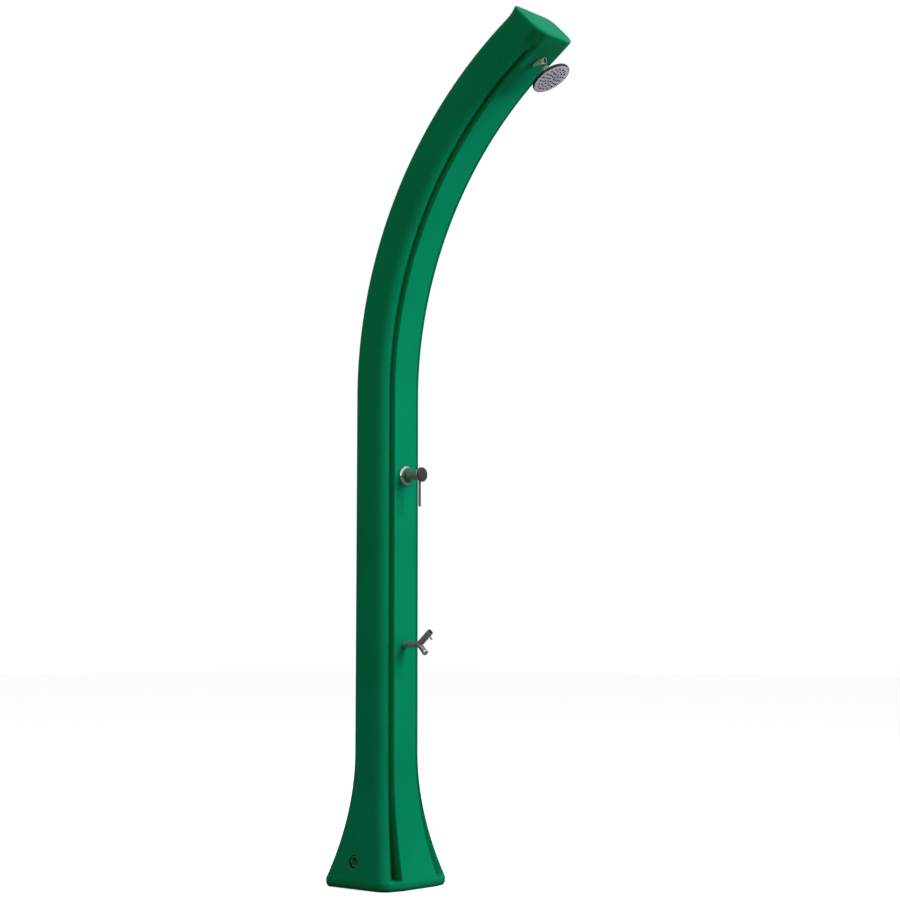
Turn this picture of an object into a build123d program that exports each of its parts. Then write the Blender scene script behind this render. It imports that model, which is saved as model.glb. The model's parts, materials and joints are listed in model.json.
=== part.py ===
from build123d import *
from math import asin, cos, degrees, radians, sin, sqrt
import os

os.makedirs("parts", exist_ok=True)

# ---------------------------------------------------------------- driving dimensions (mm)
# Frame: origin at the centre of the base on the floor, +Z up, the front panel faces -Y.

# column shell: section across the upright part
half_w = 74.0           # half the width, side to side
half_d = 59.0           # half the depth, rear face to front panel
panel_half = 40.0       # half the width of the raised front panel
ridge_drop = 9.7        # how far the ridge line stands behind the front panel
r_rear = 26.0           # rear corner radius
r_front = 36.0          # front corner radius, which stops at the ridge line
ridge_turn = 58.0       # angle the front corner turns through before the ridge
groove_depth = 15.0     # groove floor behind the front panel
groove_rate = 0.43      # deepening of the groove in the base, relative to the sides' growth
wall = 4.0              # moulded wall

# fittings on the front panel (heights and reaches; "reach" is measured forward from the column axis)
mixer_z = 1036.0        # mixer axis above the floor
foot_z = 605.0          # foot tap axis above the floor
pivot_reach = 90.0      # centre of the mixer's ball end
port_z = 66.0           # water inlet on the left side
port_y = 17.0
tap_lean = 50.0         # foot tap handle, from upright, leaning forward
spout_lean = 45.0       # foot tap spout, from straight down, leaning forward
junction_reach = 107.0  # where the foot tap's stub, spout and handle meet
neck_lean = 28.0        # shower arm's neck, from straight down, leaning forward
head_lean = 28.9        # shower head axis, from straight down, leaning forward
head_swing = 8.6        # shower head axis, swung on its ball towards +X
arm_back = 0.5          # arm sits this far along the column before the end of the bend
arm_reach = 25.0        # arm barrel beyond the panel

# base fixing
screw_x = 55.0          # base screws, either side of centre
screw_z = 35.0
anchor_dx = 160.0       # floor anchor pattern, side to side
anchor_dy = 150.0       # floor anchor pattern, front to rear
anchor_r = 5.0          # anchor hole radius, for M8
valve_x = -32.0         # check valve through the tank floor

# column shell: path
straight_h = 1245.0     # upright part
bend_r = 990.0          # centre-line radius of the bend
bend_deg = 58.0         # total lean of the top
tip_len = 71.5          # straight end beyond the bend, on the centre line
lip_grow = 5.0          # outward flare of the end
tip_tilt = 12.0         # end face, leaned back from square to the path
tip_setback = 12.0      # front panel drawn in at the end face

# column shell: base
flare_h = 339.0         # height where the base flare starts
flare_r = 1128.0        # radius of the flare's curve
rim_h = 20.0            # plain upright rim at the floor
rear_rate = 1.24        # growth of the rear, relative to the sides
front_rate = 1.21       # growth of the front panel plane
panel_rate = 0.53       # growth of the panel's half width
floor_z = 131.0         # inside bottom of the tank
floor_t = 6.0           # thickness of the tank floor

front_arc_back = ridge_drop + r_front * sin(radians(ridge_turn))


def growth(z):
    """Outward growth of the base flare at height z, with the foot rounded under."""
    run = flare_h - max(z, rim_h)
    under = 3.0 * max(0.0, 1.0 - z / 10.0) ** 2
    return max(run, 0.0) ** 2 / (2.0 * flare_r) - under


def full_outline(g, setback=0.0):
    """Column section with no grooves, grown by g, its front drawn in by setback."""
    hw = half_w + g
    rear = half_d + rear_rate * g
    front = -(half_d + front_rate * g - setback)
    edge = panel_half + panel_rate * g
    arc_y = front + front_arc_back
    with BuildLine() as outline:
        Line((0, rear), (hw - r_rear, rear))
        CenterArc((hw - r_rear, rear - r_rear), r_rear, 0, 90)
        Line((hw, rear - r_rear), (hw, arc_y))
        corner = CenterArc((hw - r_front, arc_y), r_front, 0, -ridge_turn)
        Line(corner @ 1, (edge, front))
        Line((edge, front), (0, front))
        mirror(about=Plane.YZ)
    return outline.edges()


def cavity_outline(g, setback=0.0, rate=groove_rate):
    """Inside of the shell wall for the section grown by g, its front drawn in by setback."""
    hw = half_w + g
    rear = half_d + rear_rate * g - wall
    front = -(half_d + front_rate * g - setback)
    pocket = panel_half + panel_rate * g - wall
    arc_y = front + front_arc_back
    shelf_back = groove_depth + rate * g + wall
    shelf = front + shelf_back
    pocket_turn = degrees(asin((front_arc_back - shelf_back) / (r_front - wall)))
    with BuildLine() as outline:
        Line((0, rear), (hw - r_rear, rear))
        CenterArc((hw - r_rear, rear - r_rear + wall), r_rear - wall, 0, 90)
        Line((hw - wall, rear - r_rear + wall), (hw - wall, arc_y))
        corner = CenterArc((hw - r_front, arc_y), r_front - wall, 0, -pocket_turn)
        Line(corner @ 1, (pocket, shelf))
        Line((pocket, shelf), (pocket, front + wall))
        Line((pocket, front + wall), (0, front + wall))
        mirror(about=Plane.YZ)
    return outline.edges()


def groove_outline(g, side, fill=1.0):
    """Groove between the ridge and the panel on one side; fill below 1 makes it shallower."""
    hw = half_w + g
    front = -(half_d + front_rate * g)
    edge = panel_half + panel_rate * g
    ridge_x = hw - r_front + r_front * cos(radians(ridge_turn))
    ridge_y = front + ridge_drop
    floor_x = edge + 2.5
    floor_y = front + (groove_depth + groove_rate * g) * fill
    mid_x = (ridge_x + floor_x) / 2
    mid_y = (ridge_y + floor_y) / 2 + 1.5 * fill
    with BuildLine() as outline:
        ThreePointArc((side * ridge_x, ridge_y), (side * mid_x, mid_y), (side * floor_x, floor_y))
        Line((side * floor_x, floor_y), (side * (edge + 0.8), front + 2.5))
        Line((side * (edge + 0.8), front + 2.5), (side * (edge - 2.2), front - 0.5))
        Line((side * (edge - 2.2), front - 0.5), (side * ridge_x, front - 0.5))
        Line((side * ridge_x, front - 0.5), (side * ridge_x, ridge_y))
    return outline.edges()


def path_plane(length, lift=0.0, tilt=0.0):
    """Section plane on the bend at an arc length from its start, lifted along the path, leaned back by tilt."""
    turn = min(length / bend_r, radians(bend_deg))
    extra = length - bend_r * turn + lift
    y = -bend_r + bend_r * cos(turn) - extra * sin(turn)
    z = straight_h + bend_r * sin(turn) + extra * cos(turn)
    face = turn - radians(tilt)
    return Plane(origin=(0, y, z), x_dir=(1, 0, 0), z_dir=(0, -sin(face), cos(face)))


def spun(origin, direction, steps):
    """Closed half profile on the YZ mid-plane: steps are (distance along direction, radius)."""
    oy, oz = origin
    dy, dz = direction
    points = [(oy + a * dy - r * dz, oz + a * dz + r * dy) for a, r in steps]
    with BuildLine() as outline:
        Polyline(*points, close=True)
    return outline.edges()


def run_axis(origin, direction):
    """Axis lying in the YZ mid-plane."""
    return Axis((0, origin[0], origin[1]), (0, direction[0], direction[1]))


def run_plane(origin, direction, a):
    """Plane square to a run, a along it; local x is the row's X."""
    oy, oz = origin
    dy, dz = direction
    return Plane(origin=(0, oy + a * dy, oz + a * dz), x_dir=(1, 0, 0), z_dir=(0, dy, dz))


def ball_arc(centre, radius, start, end, count=6):
    """Points (a, r) on a ball about the run, from a=start to a=end."""
    out = []
    for i in range(count + 1):
        a = start + (end - start) * i / count
        out.append((a, sqrt(max(radius ** 2 - (a - centre) ** 2, 0.0))))
    return out


bend_len = bend_r * radians(bend_deg)
bend_axis = Axis((0, -bend_r, straight_h), (1, 0, 0))


def even_levels(low, high, count):
    """Evenly spaced section heights for a loft."""
    return [low + (high - low) * i / (count - 1) for i in range(count)]


foot_levels = [0, 4, 10, rim_h]
flare_levels = even_levels(rim_h, flare_h, 6)
groove_levels = even_levels(24, flare_h, 6)
tank_levels = even_levels(floor_z, flare_h, 5)
bay_levels = even_levels(rim_h, floor_z - floor_t, 4)

forward = (-1.0, 0.0)
mixer_run = ((0.0, mixer_z), forward)
foot_run = ((0.0, foot_z), forward)
arm_turn = (bend_len - arm_back) / bend_r
arm_y = -bend_r + bend_r * cos(arm_turn) - half_d * cos(arm_turn)
arm_z = straight_h + bend_r * sin(arm_turn) - half_d * sin(arm_turn)
arm_run = ((arm_y, arm_z), forward)
neck_dir = (-sin(radians(neck_lean)), -cos(radians(neck_lean)))
neck_run = ((arm_y - arm_reach + 10.0, arm_z), neck_dir)
tap_dir = (-sin(radians(tap_lean)), cos(radians(tap_lean)))
tap_run = ((-junction_reach, foot_z), tap_dir)
spout_dir = (-sin(radians(spout_lean)), -cos(radians(spout_lean)))
spout_run = ((-junction_reach, foot_z), spout_dir)
left_face = -(half_w + growth(port_z))
rear_face = half_d + rear_rate * growth(150.0)

# ---------------------------------------------------------------- column shell
with BuildPart() as tank_space:
    for z in tank_levels:
        with BuildSketch(Plane.XY.offset(z)):
            make_face(cavity_outline(growth(z)))
    loft()
    with BuildSketch(Plane.XY.offset(flare_h)):
        make_face(cavity_outline(0))
    extrude(amount=straight_h - flare_h)
    with BuildSketch(Plane.XY.offset(straight_h)):
        make_face(cavity_outline(0))
    revolve(axis=bend_axis, revolution_arc=bend_deg)
    with BuildSketch(path_plane(bend_len)):
        make_face(cavity_outline(0))
    with BuildSketch(path_plane(bend_len, tip_len - wall - 2.0, tip_tilt)):
        make_face(cavity_outline(0, tip_setback - 2.0))
    loft(ruled=True)
    # solid boss around the arm's threaded insert
    with BuildSketch(run_plane(arm_run[0], forward, -50.0)):
        Circle(16.0)
    extrude(amount=72.0, mode=Mode.SUBTRACT)
    # boss behind the drain plug
    with BuildSketch(Plane(origin=(0, rear_face - 16.0, 152.0), x_dir=(1, 0, 0), z_dir=(0, 1, 0))):
        Circle(16.0)
    extrude(amount=20.0, mode=Mode.SUBTRACT)

with BuildPart() as service_bay:
    # clear of the anchor plate at the floor, then in behind the deep grooves
    for z, rate in zip(foot_levels, (0, 0, 0, groove_rate)):
        with BuildSketch(Plane.XY.offset(z)):
            make_face(cavity_outline(growth(z), 0, rate))
    loft(ruled=True)
    for z in bay_levels:
        with BuildSketch(Plane.XY.offset(z)):
            make_face(cavity_outline(growth(z)))
    loft()
    # boss around the water inlet
    with BuildSketch(Plane(origin=(-86.0, port_y, port_z), x_dir=(0, 1, 0), z_dir=(-1, 0, 0))):
        Circle(21.0)
    extrude(amount=30.0, mode=Mode.SUBTRACT)
    # bosses behind the base screws
    with BuildSketch(Plane(origin=(0, 102.0, screw_z), x_dir=(1, 0, 0), z_dir=(0, 1, 0))):
        with Locations((-screw_x, 0), (screw_x, 0)):
            Circle(10.0)
    extrude(amount=20.0, mode=Mode.SUBTRACT)

with BuildPart() as column_shell:
    for z in foot_levels:
        with BuildSketch(Plane.XY.offset(z)):
            make_face(full_outline(growth(z)))
    loft(ruled=True)
    for z in flare_levels:
        with BuildSketch(Plane.XY.offset(z)):
            make_face(full_outline(growth(z)))
    loft()
    with BuildSketch(Plane.XY.offset(flare_h)):
        make_face(full_outline(0))
    extrude(amount=straight_h - flare_h)
    with BuildSketch(Plane.XY.offset(straight_h)):
        make_face(full_outline(0))
    revolve(axis=bend_axis, revolution_arc=bend_deg)
    # end lip: flares at the sides and rear, draws in at the front, and leans its end face back
    for lift, share in [(0, 0), (tip_len * 0.33, 0.05), (tip_len * 0.67, 0.4), (tip_len, 1.0)]:
        with BuildSketch(path_plane(bend_len, lift, tip_tilt * share)):
            make_face(full_outline(lip_grow * share, tip_setback * share))
    loft()
    end_direction = Axis((0, 0, 0), tuple(path_plane(bend_len, tip_len, tip_tilt).z_dir))
    fillet(column_shell.faces().sort_by(end_direction)[-1].edges(), radius=5.0)
    for side in (-1, 1):
        for z in groove_levels:
            with BuildSketch(Plane.XY.offset(z)):
                make_face(groove_outline(growth(z), side))
        loft(mode=Mode.SUBTRACT)
        with BuildSketch(Plane.XY.offset(flare_h)):
            make_face(groove_outline(0, side))
        extrude(amount=straight_h - flare_h, mode=Mode.SUBTRACT)
        with BuildSketch(Plane.XY.offset(straight_h)):
            make_face(groove_outline(0, side))
        revolve(axis=bend_axis, revolution_arc=bend_deg, mode=Mode.SUBTRACT)
        # each groove runs out to the surface before the end lip
        for lift, fill in [(0, 1.0), (tip_len - 32, 0.7)]:
            with BuildSketch(path_plane(bend_len, lift)):
                make_face(groove_outline(0, side, fill))
        loft(mode=Mode.SUBTRACT)
    add(tank_space.part, mode=Mode.SUBTRACT, clean=False)
    add(service_bay.part, mode=Mode.SUBTRACT, clean=False)
    # mixer and foot tap holes through the front panel
    with BuildSketch(run_plane(*mixer_run, 50.0)):
        Circle(16.1)
    extrude(amount=12.0, mode=Mode.SUBTRACT, clean=False)
    with BuildSketch(run_plane(*foot_run, 50.0)):
        Circle(8.4)
    extrude(amount=12.0, mode=Mode.SUBTRACT, clean=False)
    # arm: insert pocket from inside, barrel hole through the skin
    with BuildSketch(run_plane(*arm_run, -52.0)):
        Circle(11.0)
    extrude(amount=28.0, mode=Mode.SUBTRACT, clean=False)
    with BuildSketch(run_plane(*arm_run, -24.0)):
        Circle(9.0)
    extrude(amount=6.0, mode=Mode.SUBTRACT, clean=False)
    with BuildSketch(run_plane(*arm_run, -18.0)):
        Circle(7.7)
    extrude(amount=50.0, mode=Mode.SUBTRACT, clean=False)
    # water inlet: recess from outside and hole through the boss
    with BuildSketch(Plane(origin=(-98.0, port_y, port_z), x_dir=(0, 1, 0), z_dir=(-1, 0, 0))):
        Circle(15.5)
    extrude(amount=30.0, mode=Mode.SUBTRACT, clean=False)
    with BuildSketch(Plane(origin=(-84.0, port_y, port_z), x_dir=(0, 1, 0), z_dir=(-1, 0, 0))):
        Circle(12.1)
    extrude(amount=20.0, mode=Mode.SUBTRACT, clean=False)
    # drain: flat seat and hole
    with BuildSketch(Plane(origin=(0, rear_face - 3.0, 152.0), x_dir=(1, 0, 0), z_dir=(0, 1, 0))):
        Circle(13.5)
    extrude(amount=20.0, mode=Mode.SUBTRACT, clean=False)
    with BuildSketch(Plane(origin=(0, rear_face - 20.0, 152.0), x_dir=(1, 0, 0), z_dir=(0, 1, 0))):
        Circle(8.1)
    extrude(amount=30.0, mode=Mode.SUBTRACT, clean=False)
    # base screws: hole and head recess in the rear
    with BuildSketch(Plane(origin=(0, 100.0, screw_z), x_dir=(1, 0, 0), z_dir=(0, 1, 0))):
        with Locations((-screw_x, 0), (screw_x, 0)):
            Circle(3.3)
    extrude(amount=20.0, mode=Mode.SUBTRACT, clean=False)
    with BuildSketch(Plane(origin=(0, 106.0, screw_z), x_dir=(1, 0, 0), z_dir=(0, 1, 0))):
        with Locations((-screw_x, 0), (screw_x, 0)):
            Circle(7.5)
    extrude(amount=20.0, mode=Mode.SUBTRACT, clean=False)
    # tank floor: check valve hole and riser hole
    with BuildSketch(Plane.XY.offset(floor_z - floor_t - 1.0)):
        with Locations((valve_x, port_y)):
            Circle(9.0)
        with Locations((0, port_y)):
            Circle(9.0)
    extrude(amount=floor_t + 2.0, mode=Mode.SUBTRACT, clean=False)
column_shell.part.label = "column_shell"
export_step(column_shell.part, "parts/column_shell.step")

# ---------------------------------------------------------------- base plate and fixings
with BuildPart() as anchor_plate:
    with BuildSketch():
        with Locations((0, 5)):
            RectangleRounded(196, 184, 12)
        with Locations((-anchor_dx / 2, 5 - anchor_dy / 2), (anchor_dx / 2, 5 - anchor_dy / 2),
                       (-anchor_dx / 2, 5 + anchor_dy / 2), (anchor_dx / 2, 5 + anchor_dy / 2)):
            Circle(anchor_r, mode=Mode.SUBTRACT)
    extrude(amount=4.0)
    # two upright tabs that take the base screws
    with BuildSketch(Plane(origin=(0, 98.0, 0), x_dir=(1, 0, 0), z_dir=(0, -1, 0))):
        with Locations((-screw_x, 25.0), (screw_x, 25.0)):
            RectangleRounded(30, 49.9, 5)
    extrude(amount=4.0)
    with BuildSketch(Plane(origin=(0, 100.0, screw_z), x_dir=(1, 0, 0), z_dir=(0, -1, 0))):
        with Locations((-screw_x, 0), (screw_x, 0)):
            Circle(4.5)
    extrude(amount=10.0, mode=Mode.SUBTRACT)
    # two front tabs that stand inside the panel and keep the foot in place
    with BuildSketch(Plane(origin=(0, -86.8, 0), x_dir=(1, 0, 0), z_dir=(0, 1, 0))):
        with Locations((-38, -20), (38, -20)):
            RectangleRounded(30, 39.9, 5)
    extrude(amount=4.0)
anchor_plate.part.label = "anchor_plate"
export_step(anchor_plate.part, "parts/anchor_plate.step")

with BuildPart() as clinch_nuts:
    for x in (-screw_x, screw_x):
        with BuildSketch(Plane(origin=(x, 101.9, screw_z), x_dir=(1, 0, 0), z_dir=(0, -1, 0))):
            Circle(4.5)
            Circle(3.0, mode=Mode.SUBTRACT)
        extrude(amount=7.9)
        with BuildSketch(Plane(origin=(x, 94.0, screw_z), x_dir=(1, 0, 0), z_dir=(0, -1, 0))):
            Circle(6.5)
            Circle(3.0, mode=Mode.SUBTRACT)
        extrude(amount=5.0)
clinch_nuts.part.label = "clinch_nuts"
export_step(clinch_nuts.part, "parts/clinch_nuts.step")

with BuildPart() as base_screws:
    for x in (-screw_x, screw_x):
        with BuildSketch(Plane(origin=(x, 106.0, screw_z), x_dir=(1, 0, 0), z_dir=(0, -1, 0))):
            Circle(3.0)
        extrude(amount=18.0)
        with BuildSketch(Plane(origin=(x, 106.0, screw_z), x_dir=(1, 0, 0), z_dir=(0, 1, 0))):
            Circle(6.5)
        extrude(amount=3.6)
        with BuildSketch(Plane(origin=(x, 109.6, screw_z), x_dir=(1, 0, 0), z_dir=(0, -1, 0))):
            RegularPolygon(2.3, 6)
        extrude(amount=2.4, mode=Mode.SUBTRACT)
base_screws.part.label = "base_screws"
export_step(base_screws.part, "parts/base_screws.step")

# ---------------------------------------------------------------- water inlet and feed
inlet_plane = Plane(origin=(0, port_y, port_z), x_dir=(0, 1, 0), z_dir=(-1, 0, 0))

with BuildPart() as inlet_socket:
    # flange in the recess, threaded body through the boss, socket thread behind the boss
    with BuildSketch(inlet_plane.offset(98.0)):
        RegularPolygon(14.8, 6)
    extrude(amount=4.0)
    with BuildSketch(inlet_plane.offset(56.0)):
        Circle(12.0)
    extrude(amount=42.0)
    with BuildSketch(inlet_plane.offset(64.0)):
        Circle(9.3)
    extrude(amount=22.0, mode=Mode.SUBTRACT)
    with BuildSketch(inlet_plane.offset(85.0)):
        Circle(10.7)
    extrude(amount=20.0, mode=Mode.SUBTRACT)
    with BuildSketch(inlet_plane.offset(50.0)):
        Circle(4.5)
    extrude(amount=20.0, mode=Mode.SUBTRACT)
inlet_socket.part.label = "inlet_socket"
export_step(inlet_socket.part, "parts/inlet_socket.step")

with BuildPart() as inlet_washer:
    with BuildSketch(inlet_plane.offset(84.2)):
        Circle(17.0)
        Circle(12.05, mode=Mode.SUBTRACT)
    extrude(amount=1.8)
inlet_washer.part.label = "inlet_washer"
export_step(inlet_washer.part, "parts/inlet_washer.step")

with BuildPart() as inlet_nut:
    with BuildSketch(inlet_plane.offset(76.2)):
        RegularPolygon(17.5, 6)
        Circle(12.05, mode=Mode.SUBTRACT)
    extrude(amount=8.0)
inlet_nut.part.label = "inlet_nut"
export_step(inlet_nut.part, "parts/inlet_nut.step")

with BuildPart() as feed_tee:
    # run from the inlet to the riser, with a branch up to the check valve
    with BuildSketch(inlet_plane.offset(-9.0)):
        Circle(8.0)
    extrude(amount=65.0)
    with BuildSketch(Plane.XY.offset(port_z)):
        with Locations((valve_x, port_y)):
            Circle(7.5)
    extrude(amount=18.0)
    with BuildSketch(Plane.XY.offset(port_z)):
        with Locations((0, port_y)):
            Circle(7.5)
    extrude(amount=16.0)
    with BuildSketch(inlet_plane.offset(-5.0)):
        Circle(4.5)
    extrude(amount=61.0, mode=Mode.SUBTRACT)
    with BuildSketch(Plane.XY.offset(port_z)):
        with Locations((valve_x, port_y), (0, port_y)):
            Circle(4.2)
    extrude(amount=20.0, mode=Mode.SUBTRACT)
feed_tee.part.label = "feed_tee"
export_step(feed_tee.part, "parts/feed_tee.step")

# check valve: seat at seat_z, poppet lifts to let water into the tank
seat_z = 98.0
with BuildPart() as valve_body:
    with BuildSketch(Plane.XY.offset(84.0)):
        with Locations((valve_x, port_y)):
            RegularPolygon(11.5, 6)
    extrude(amount=floor_z - floor_t - 84.0)
    with BuildSketch(Plane.XY.offset(floor_z - floor_t)):
        with Locations((valve_x, port_y)):
            Circle(8.9)
    extrude(amount=15.0)
    with BuildSketch(Plane.XY.offset(84.0)):
        with Locations((valve_x, port_y)):
            Circle(4.5)
    extrude(amount=60.0, mode=Mode.SUBTRACT)
    with BuildSketch(Plane.XY.offset(seat_z)):
        with Locations((valve_x, port_y)):
            Circle(7.0)
            Circle(4.5, mode=Mode.SUBTRACT)
    extrude(amount=24.0, mode=Mode.SUBTRACT)
    with BuildSketch(Plane.XY.offset(122.0)):
        with Locations((valve_x, port_y)):
            Circle(7.2)
            Circle(2.05, mode=Mode.SUBTRACT)
            with PolarLocations(4.4, 5):
                Circle(1.5, mode=Mode.SUBTRACT)
    extrude(amount=4.0)
valve_body.part.label = "valve_body"
export_step(valve_body.part, "parts/valve_body.step")

with BuildPart() as valve_poppet:
    with BuildSketch(Plane.XY.offset(seat_z)):
        with Locations((valve_x, port_y)):
            Circle(6.2)
    extrude(amount=3.0)
    with BuildSketch(Plane.XY.offset(seat_z + 3.0)):
        with Locations((valve_x, port_y)):
            Circle(2.0)
    extrude(amount=27.0)
valve_poppet.part.label = "valve_poppet"
export_step(valve_poppet.part, "parts/valve_poppet.step")

with BuildPart() as valve_spring:
    with BuildLine(Plane(origin=(valve_x, port_y, seat_z + 3.6))) as coil:
        Helix(pitch=4.0, height=17.8, radius=4.0)
    with BuildSketch(Plane(origin=coil.line @ 0, z_dir=coil.line % 0)):
        Circle(0.5)
    sweep(path=coil.line)
valve_spring.part.label = "valve_spring"
export_step(valve_spring.part, "parts/valve_spring.step")

with BuildPart() as valve_nut:
    with BuildSketch(Plane.XY.offset(floor_z)):
        with Locations((valve_x, port_y)):
            RegularPolygon(13.0, 6)
            Circle(8.95, mode=Mode.SUBTRACT)
    extrude(amount=7.0)
valve_nut.part.label = "valve_nut"
export_step(valve_nut.part, "parts/valve_nut.step")

with BuildPart() as riser_grommet:
    with BuildSketch(Plane.XY.offset(floor_z - floor_t)):
        with Locations((0, port_y)):
            Circle(8.95)
            Circle(6.0, mode=Mode.SUBTRACT)
    extrude(amount=floor_t)
    with BuildSketch(Plane.XY.offset(floor_z)):
        with Locations((0, port_y)):
            Circle(11.5)
            Circle(6.0, mode=Mode.SUBTRACT)
    extrude(amount=2.5)
riser_grommet.part.label = "riser_grommet"
export_step(riser_grommet.part, "parts/riser_grommet.step")

# ---------------------------------------------------------------- tubes
hot_y = -22.0           # tank outlet tube, into the top of the mixer
out_y = -38.0           # shower riser, out of the top of the mixer
cold_y = -30.0          # cold riser, into the underside of the mixer
port_len = 14.0         # mixer ports beyond its body
port_tip = mixer_z + 17.0 + port_len
tube_r = 6.0
tube_bore = 4.4

with BuildPart() as cold_riser:
    with BuildLine() as run:
        Polyline((0, port_y, port_z + 16.0), (0, port_y, mixer_z - 130), (0, cold_y, mixer_z - 75),
                 (0, cold_y, mixer_z - 17 - port_len))
        fillet(run.vertices().sort_by(Axis.Z)[1:3], radius=45)
    with BuildSketch(Plane(origin=run.line @ 0, z_dir=run.line % 0)):
        Circle(tube_r)
        Circle(tube_bore, mode=Mode.SUBTRACT)
    sweep(path=run.line)
cold_riser.part.label = "cold_riser"
export_step(cold_riser.part, "parts/cold_riser.step")

with BuildPart() as hot_pickup:
    with BuildSketch(Plane(origin=(0, hot_y, port_tip), z_dir=(0, 0, 1))):
        Circle(tube_r)
        Circle(tube_bore, mode=Mode.SUBTRACT)
    extrude(amount=straight_h - port_tip)
    with BuildSketch(Plane(origin=(0, hot_y, straight_h), z_dir=(0, 0, 1))):
        Circle(tube_r)
        Circle(tube_bore, mode=Mode.SUBTRACT)
    revolve(axis=bend_axis, revolution_arc=bend_deg - 12.0)
hot_pickup.part.label = "hot_pickup"
export_step(hot_pickup.part, "parts/hot_pickup.step")

riser_r = bend_r + out_y
riser_turn = bend_deg - 9.0
riser_end = (-bend_r + riser_r * cos(radians(riser_turn)), straight_h + riser_r * sin(radians(riser_turn)))
insert_tail = arm_y + 52.0
with BuildPart() as shower_riser:
    with BuildLine() as run:
        first = Line((0, out_y, port_tip), (0, out_y, straight_h))
        bend_mid = radians(riser_turn / 2)
        second = ThreePointArc(first @ 1,
                               (0, -bend_r + riser_r * cos(bend_mid), straight_h + riser_r * sin(bend_mid)),
                               (0, riser_end[0], riser_end[1]))
        third = Spline(second @ 1, (0, insert_tail + 7.0, arm_z), tangents=(second % 1, (0, -1, 0)))
        Line(third @ 1, (0, insert_tail, arm_z))
    with BuildSketch(Plane(origin=run.line @ 0, z_dir=run.line % 0)):
        Circle(tube_r)
        Circle(tube_bore, mode=Mode.SUBTRACT)
    sweep(path=run.line)
shower_riser.part.label = "shower_riser"
export_step(shower_riser.part, "parts/shower_riser.step")

with BuildPart() as riser_tee:
    # saddle tee clamped round the cold riser, with a branch forward to the foot tap
    with BuildSketch(Plane.XY.offset(foot_z - 16.0)):
        with Locations((0, port_y)):
            Circle(10.0)
    extrude(amount=32.0)
    with BuildSketch(run_plane(*foot_run, -port_y)):
        Circle(8.5)
    extrude(amount=22.0)
    with BuildSketch(Plane.XY.offset(foot_z - 20.0)):
        with Locations((0, port_y)):
            Circle(tube_r)
    extrude(amount=40.0, mode=Mode.SUBTRACT)
    with BuildSketch(run_plane(*foot_run, -port_y)):
        Circle(tube_bore)
    extrude(amount=30.0, mode=Mode.SUBTRACT)
riser_tee.part.label = "riser_tee"
export_step(riser_tee.part, "parts/riser_tee.step")

with BuildPart() as foot_feed:
    with BuildSketch(run_plane(*foot_run, 5.0)):
        Circle(tube_r)
        Circle(tube_bore, mode=Mode.SUBTRACT)
    extrude(amount=31.0)
foot_feed.part.label = "foot_feed"
export_step(foot_feed.part, "parts/foot_feed.step")

# ---------------------------------------------------------------- drain
drain_plane = Plane(origin=(0, rear_face, 152.0), x_dir=(1, 0, 0), z_dir=(0, 1, 0))

with BuildPart() as drain_plug:
    with BuildSketch(drain_plane.offset(-15.0)):
        Circle(8.0)
    extrude(amount=14.0)
    with BuildSketch(drain_plane.offset(-1.0)):
        Circle(12.0)
    extrude(amount=5.0)
    with BuildSketch(drain_plane.offset(0.5)):
        RegularPolygon(4.6, 6)
    extrude(amount=5.0, mode=Mode.SUBTRACT)
drain_plug.part.label = "drain_plug"
export_step(drain_plug.part, "parts/drain_plug.step")

with BuildPart() as drain_seal:
    with BuildSketch(drain_plane.offset(-3.0)):
        Circle(12.0)
        Circle(8.1, mode=Mode.SUBTRACT)
    extrude(amount=2.0)
drain_seal.part.label = "drain_seal"
export_step(drain_seal.part, "parts/drain_seal.step")

# ---------------------------------------------------------------- mixer
ball_r = 11.0           # fixed ball end the handle tilts on
nose_r = 12.5           # mixer nose and handle hub
mixer_bore = 8.0
opening_r = 7.2         # front opening the stem passes through
opening_reach = pivot_reach + sqrt(ball_r ** 2 - opening_r ** 2)
mixer_axis = run_axis(*mixer_run)

with BuildPart() as mixer_body:
    with BuildSketch(Plane.YZ):
        ball = ball_arc(pivot_reach, ball_r, pivot_reach - 3.0, opening_reach)
        make_face(spun(*mixer_run, [(14, mixer_bore), (14, 17), (45, 17), (45, 20.5), (53, 20.5), (53, 15.9),
                                    (67, 15.9), (67, nose_r), (pivot_reach - 3.0, nose_r)] + ball
                       + [(opening_reach - 3.0, opening_r), (opening_reach - 5.0, mixer_bore)]))
    revolve(axis=mixer_axis)
    # hot in and mixed out on top, cold in underneath
    for y, side in [(hot_y, 1), (out_y, 1), (cold_y, -1)]:
        with BuildSketch(Plane(origin=(0, y, mixer_z + side * 12.0), x_dir=(1, 0, 0), z_dir=(0, 0, side))):
            Circle(7.4)
            Circle(tube_bore, mode=Mode.SUBTRACT)
        extrude(amount=5.0 + port_len)
        with BuildSketch(Plane(origin=(0, y, mixer_z + side * 7.0), x_dir=(1, 0, 0), z_dir=(0, 0, side))):
            Circle(tube_bore)
        extrude(amount=12.0, mode=Mode.SUBTRACT)
mixer_body.part.label = "mixer_body"
export_step(mixer_body.part, "parts/mixer_body.step")

with BuildPart() as mixer_rear_plug:
    with BuildSketch(run_plane(*mixer_run, 8.0)):
        RegularPolygon(11.0, 6)
    extrude(amount=6.0)
    with BuildSketch(run_plane(*mixer_run, 14.0)):
        Circle(mixer_bore)
    extrude(amount=6.0)
mixer_rear_plug.part.label = "mixer_rear_plug"
export_step(mixer_rear_plug.part, "parts/mixer_rear_plug.step")

with BuildPart() as mixer_washer:
    with BuildSketch(run_plane(*mixer_run, 53.0)):
        Circle(20.5)
        Circle(15.95, mode=Mode.SUBTRACT)
    extrude(amount=2.0)
mixer_washer.part.label = "mixer_washer"
export_step(mixer_washer.part, "parts/mixer_washer.step")

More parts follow.
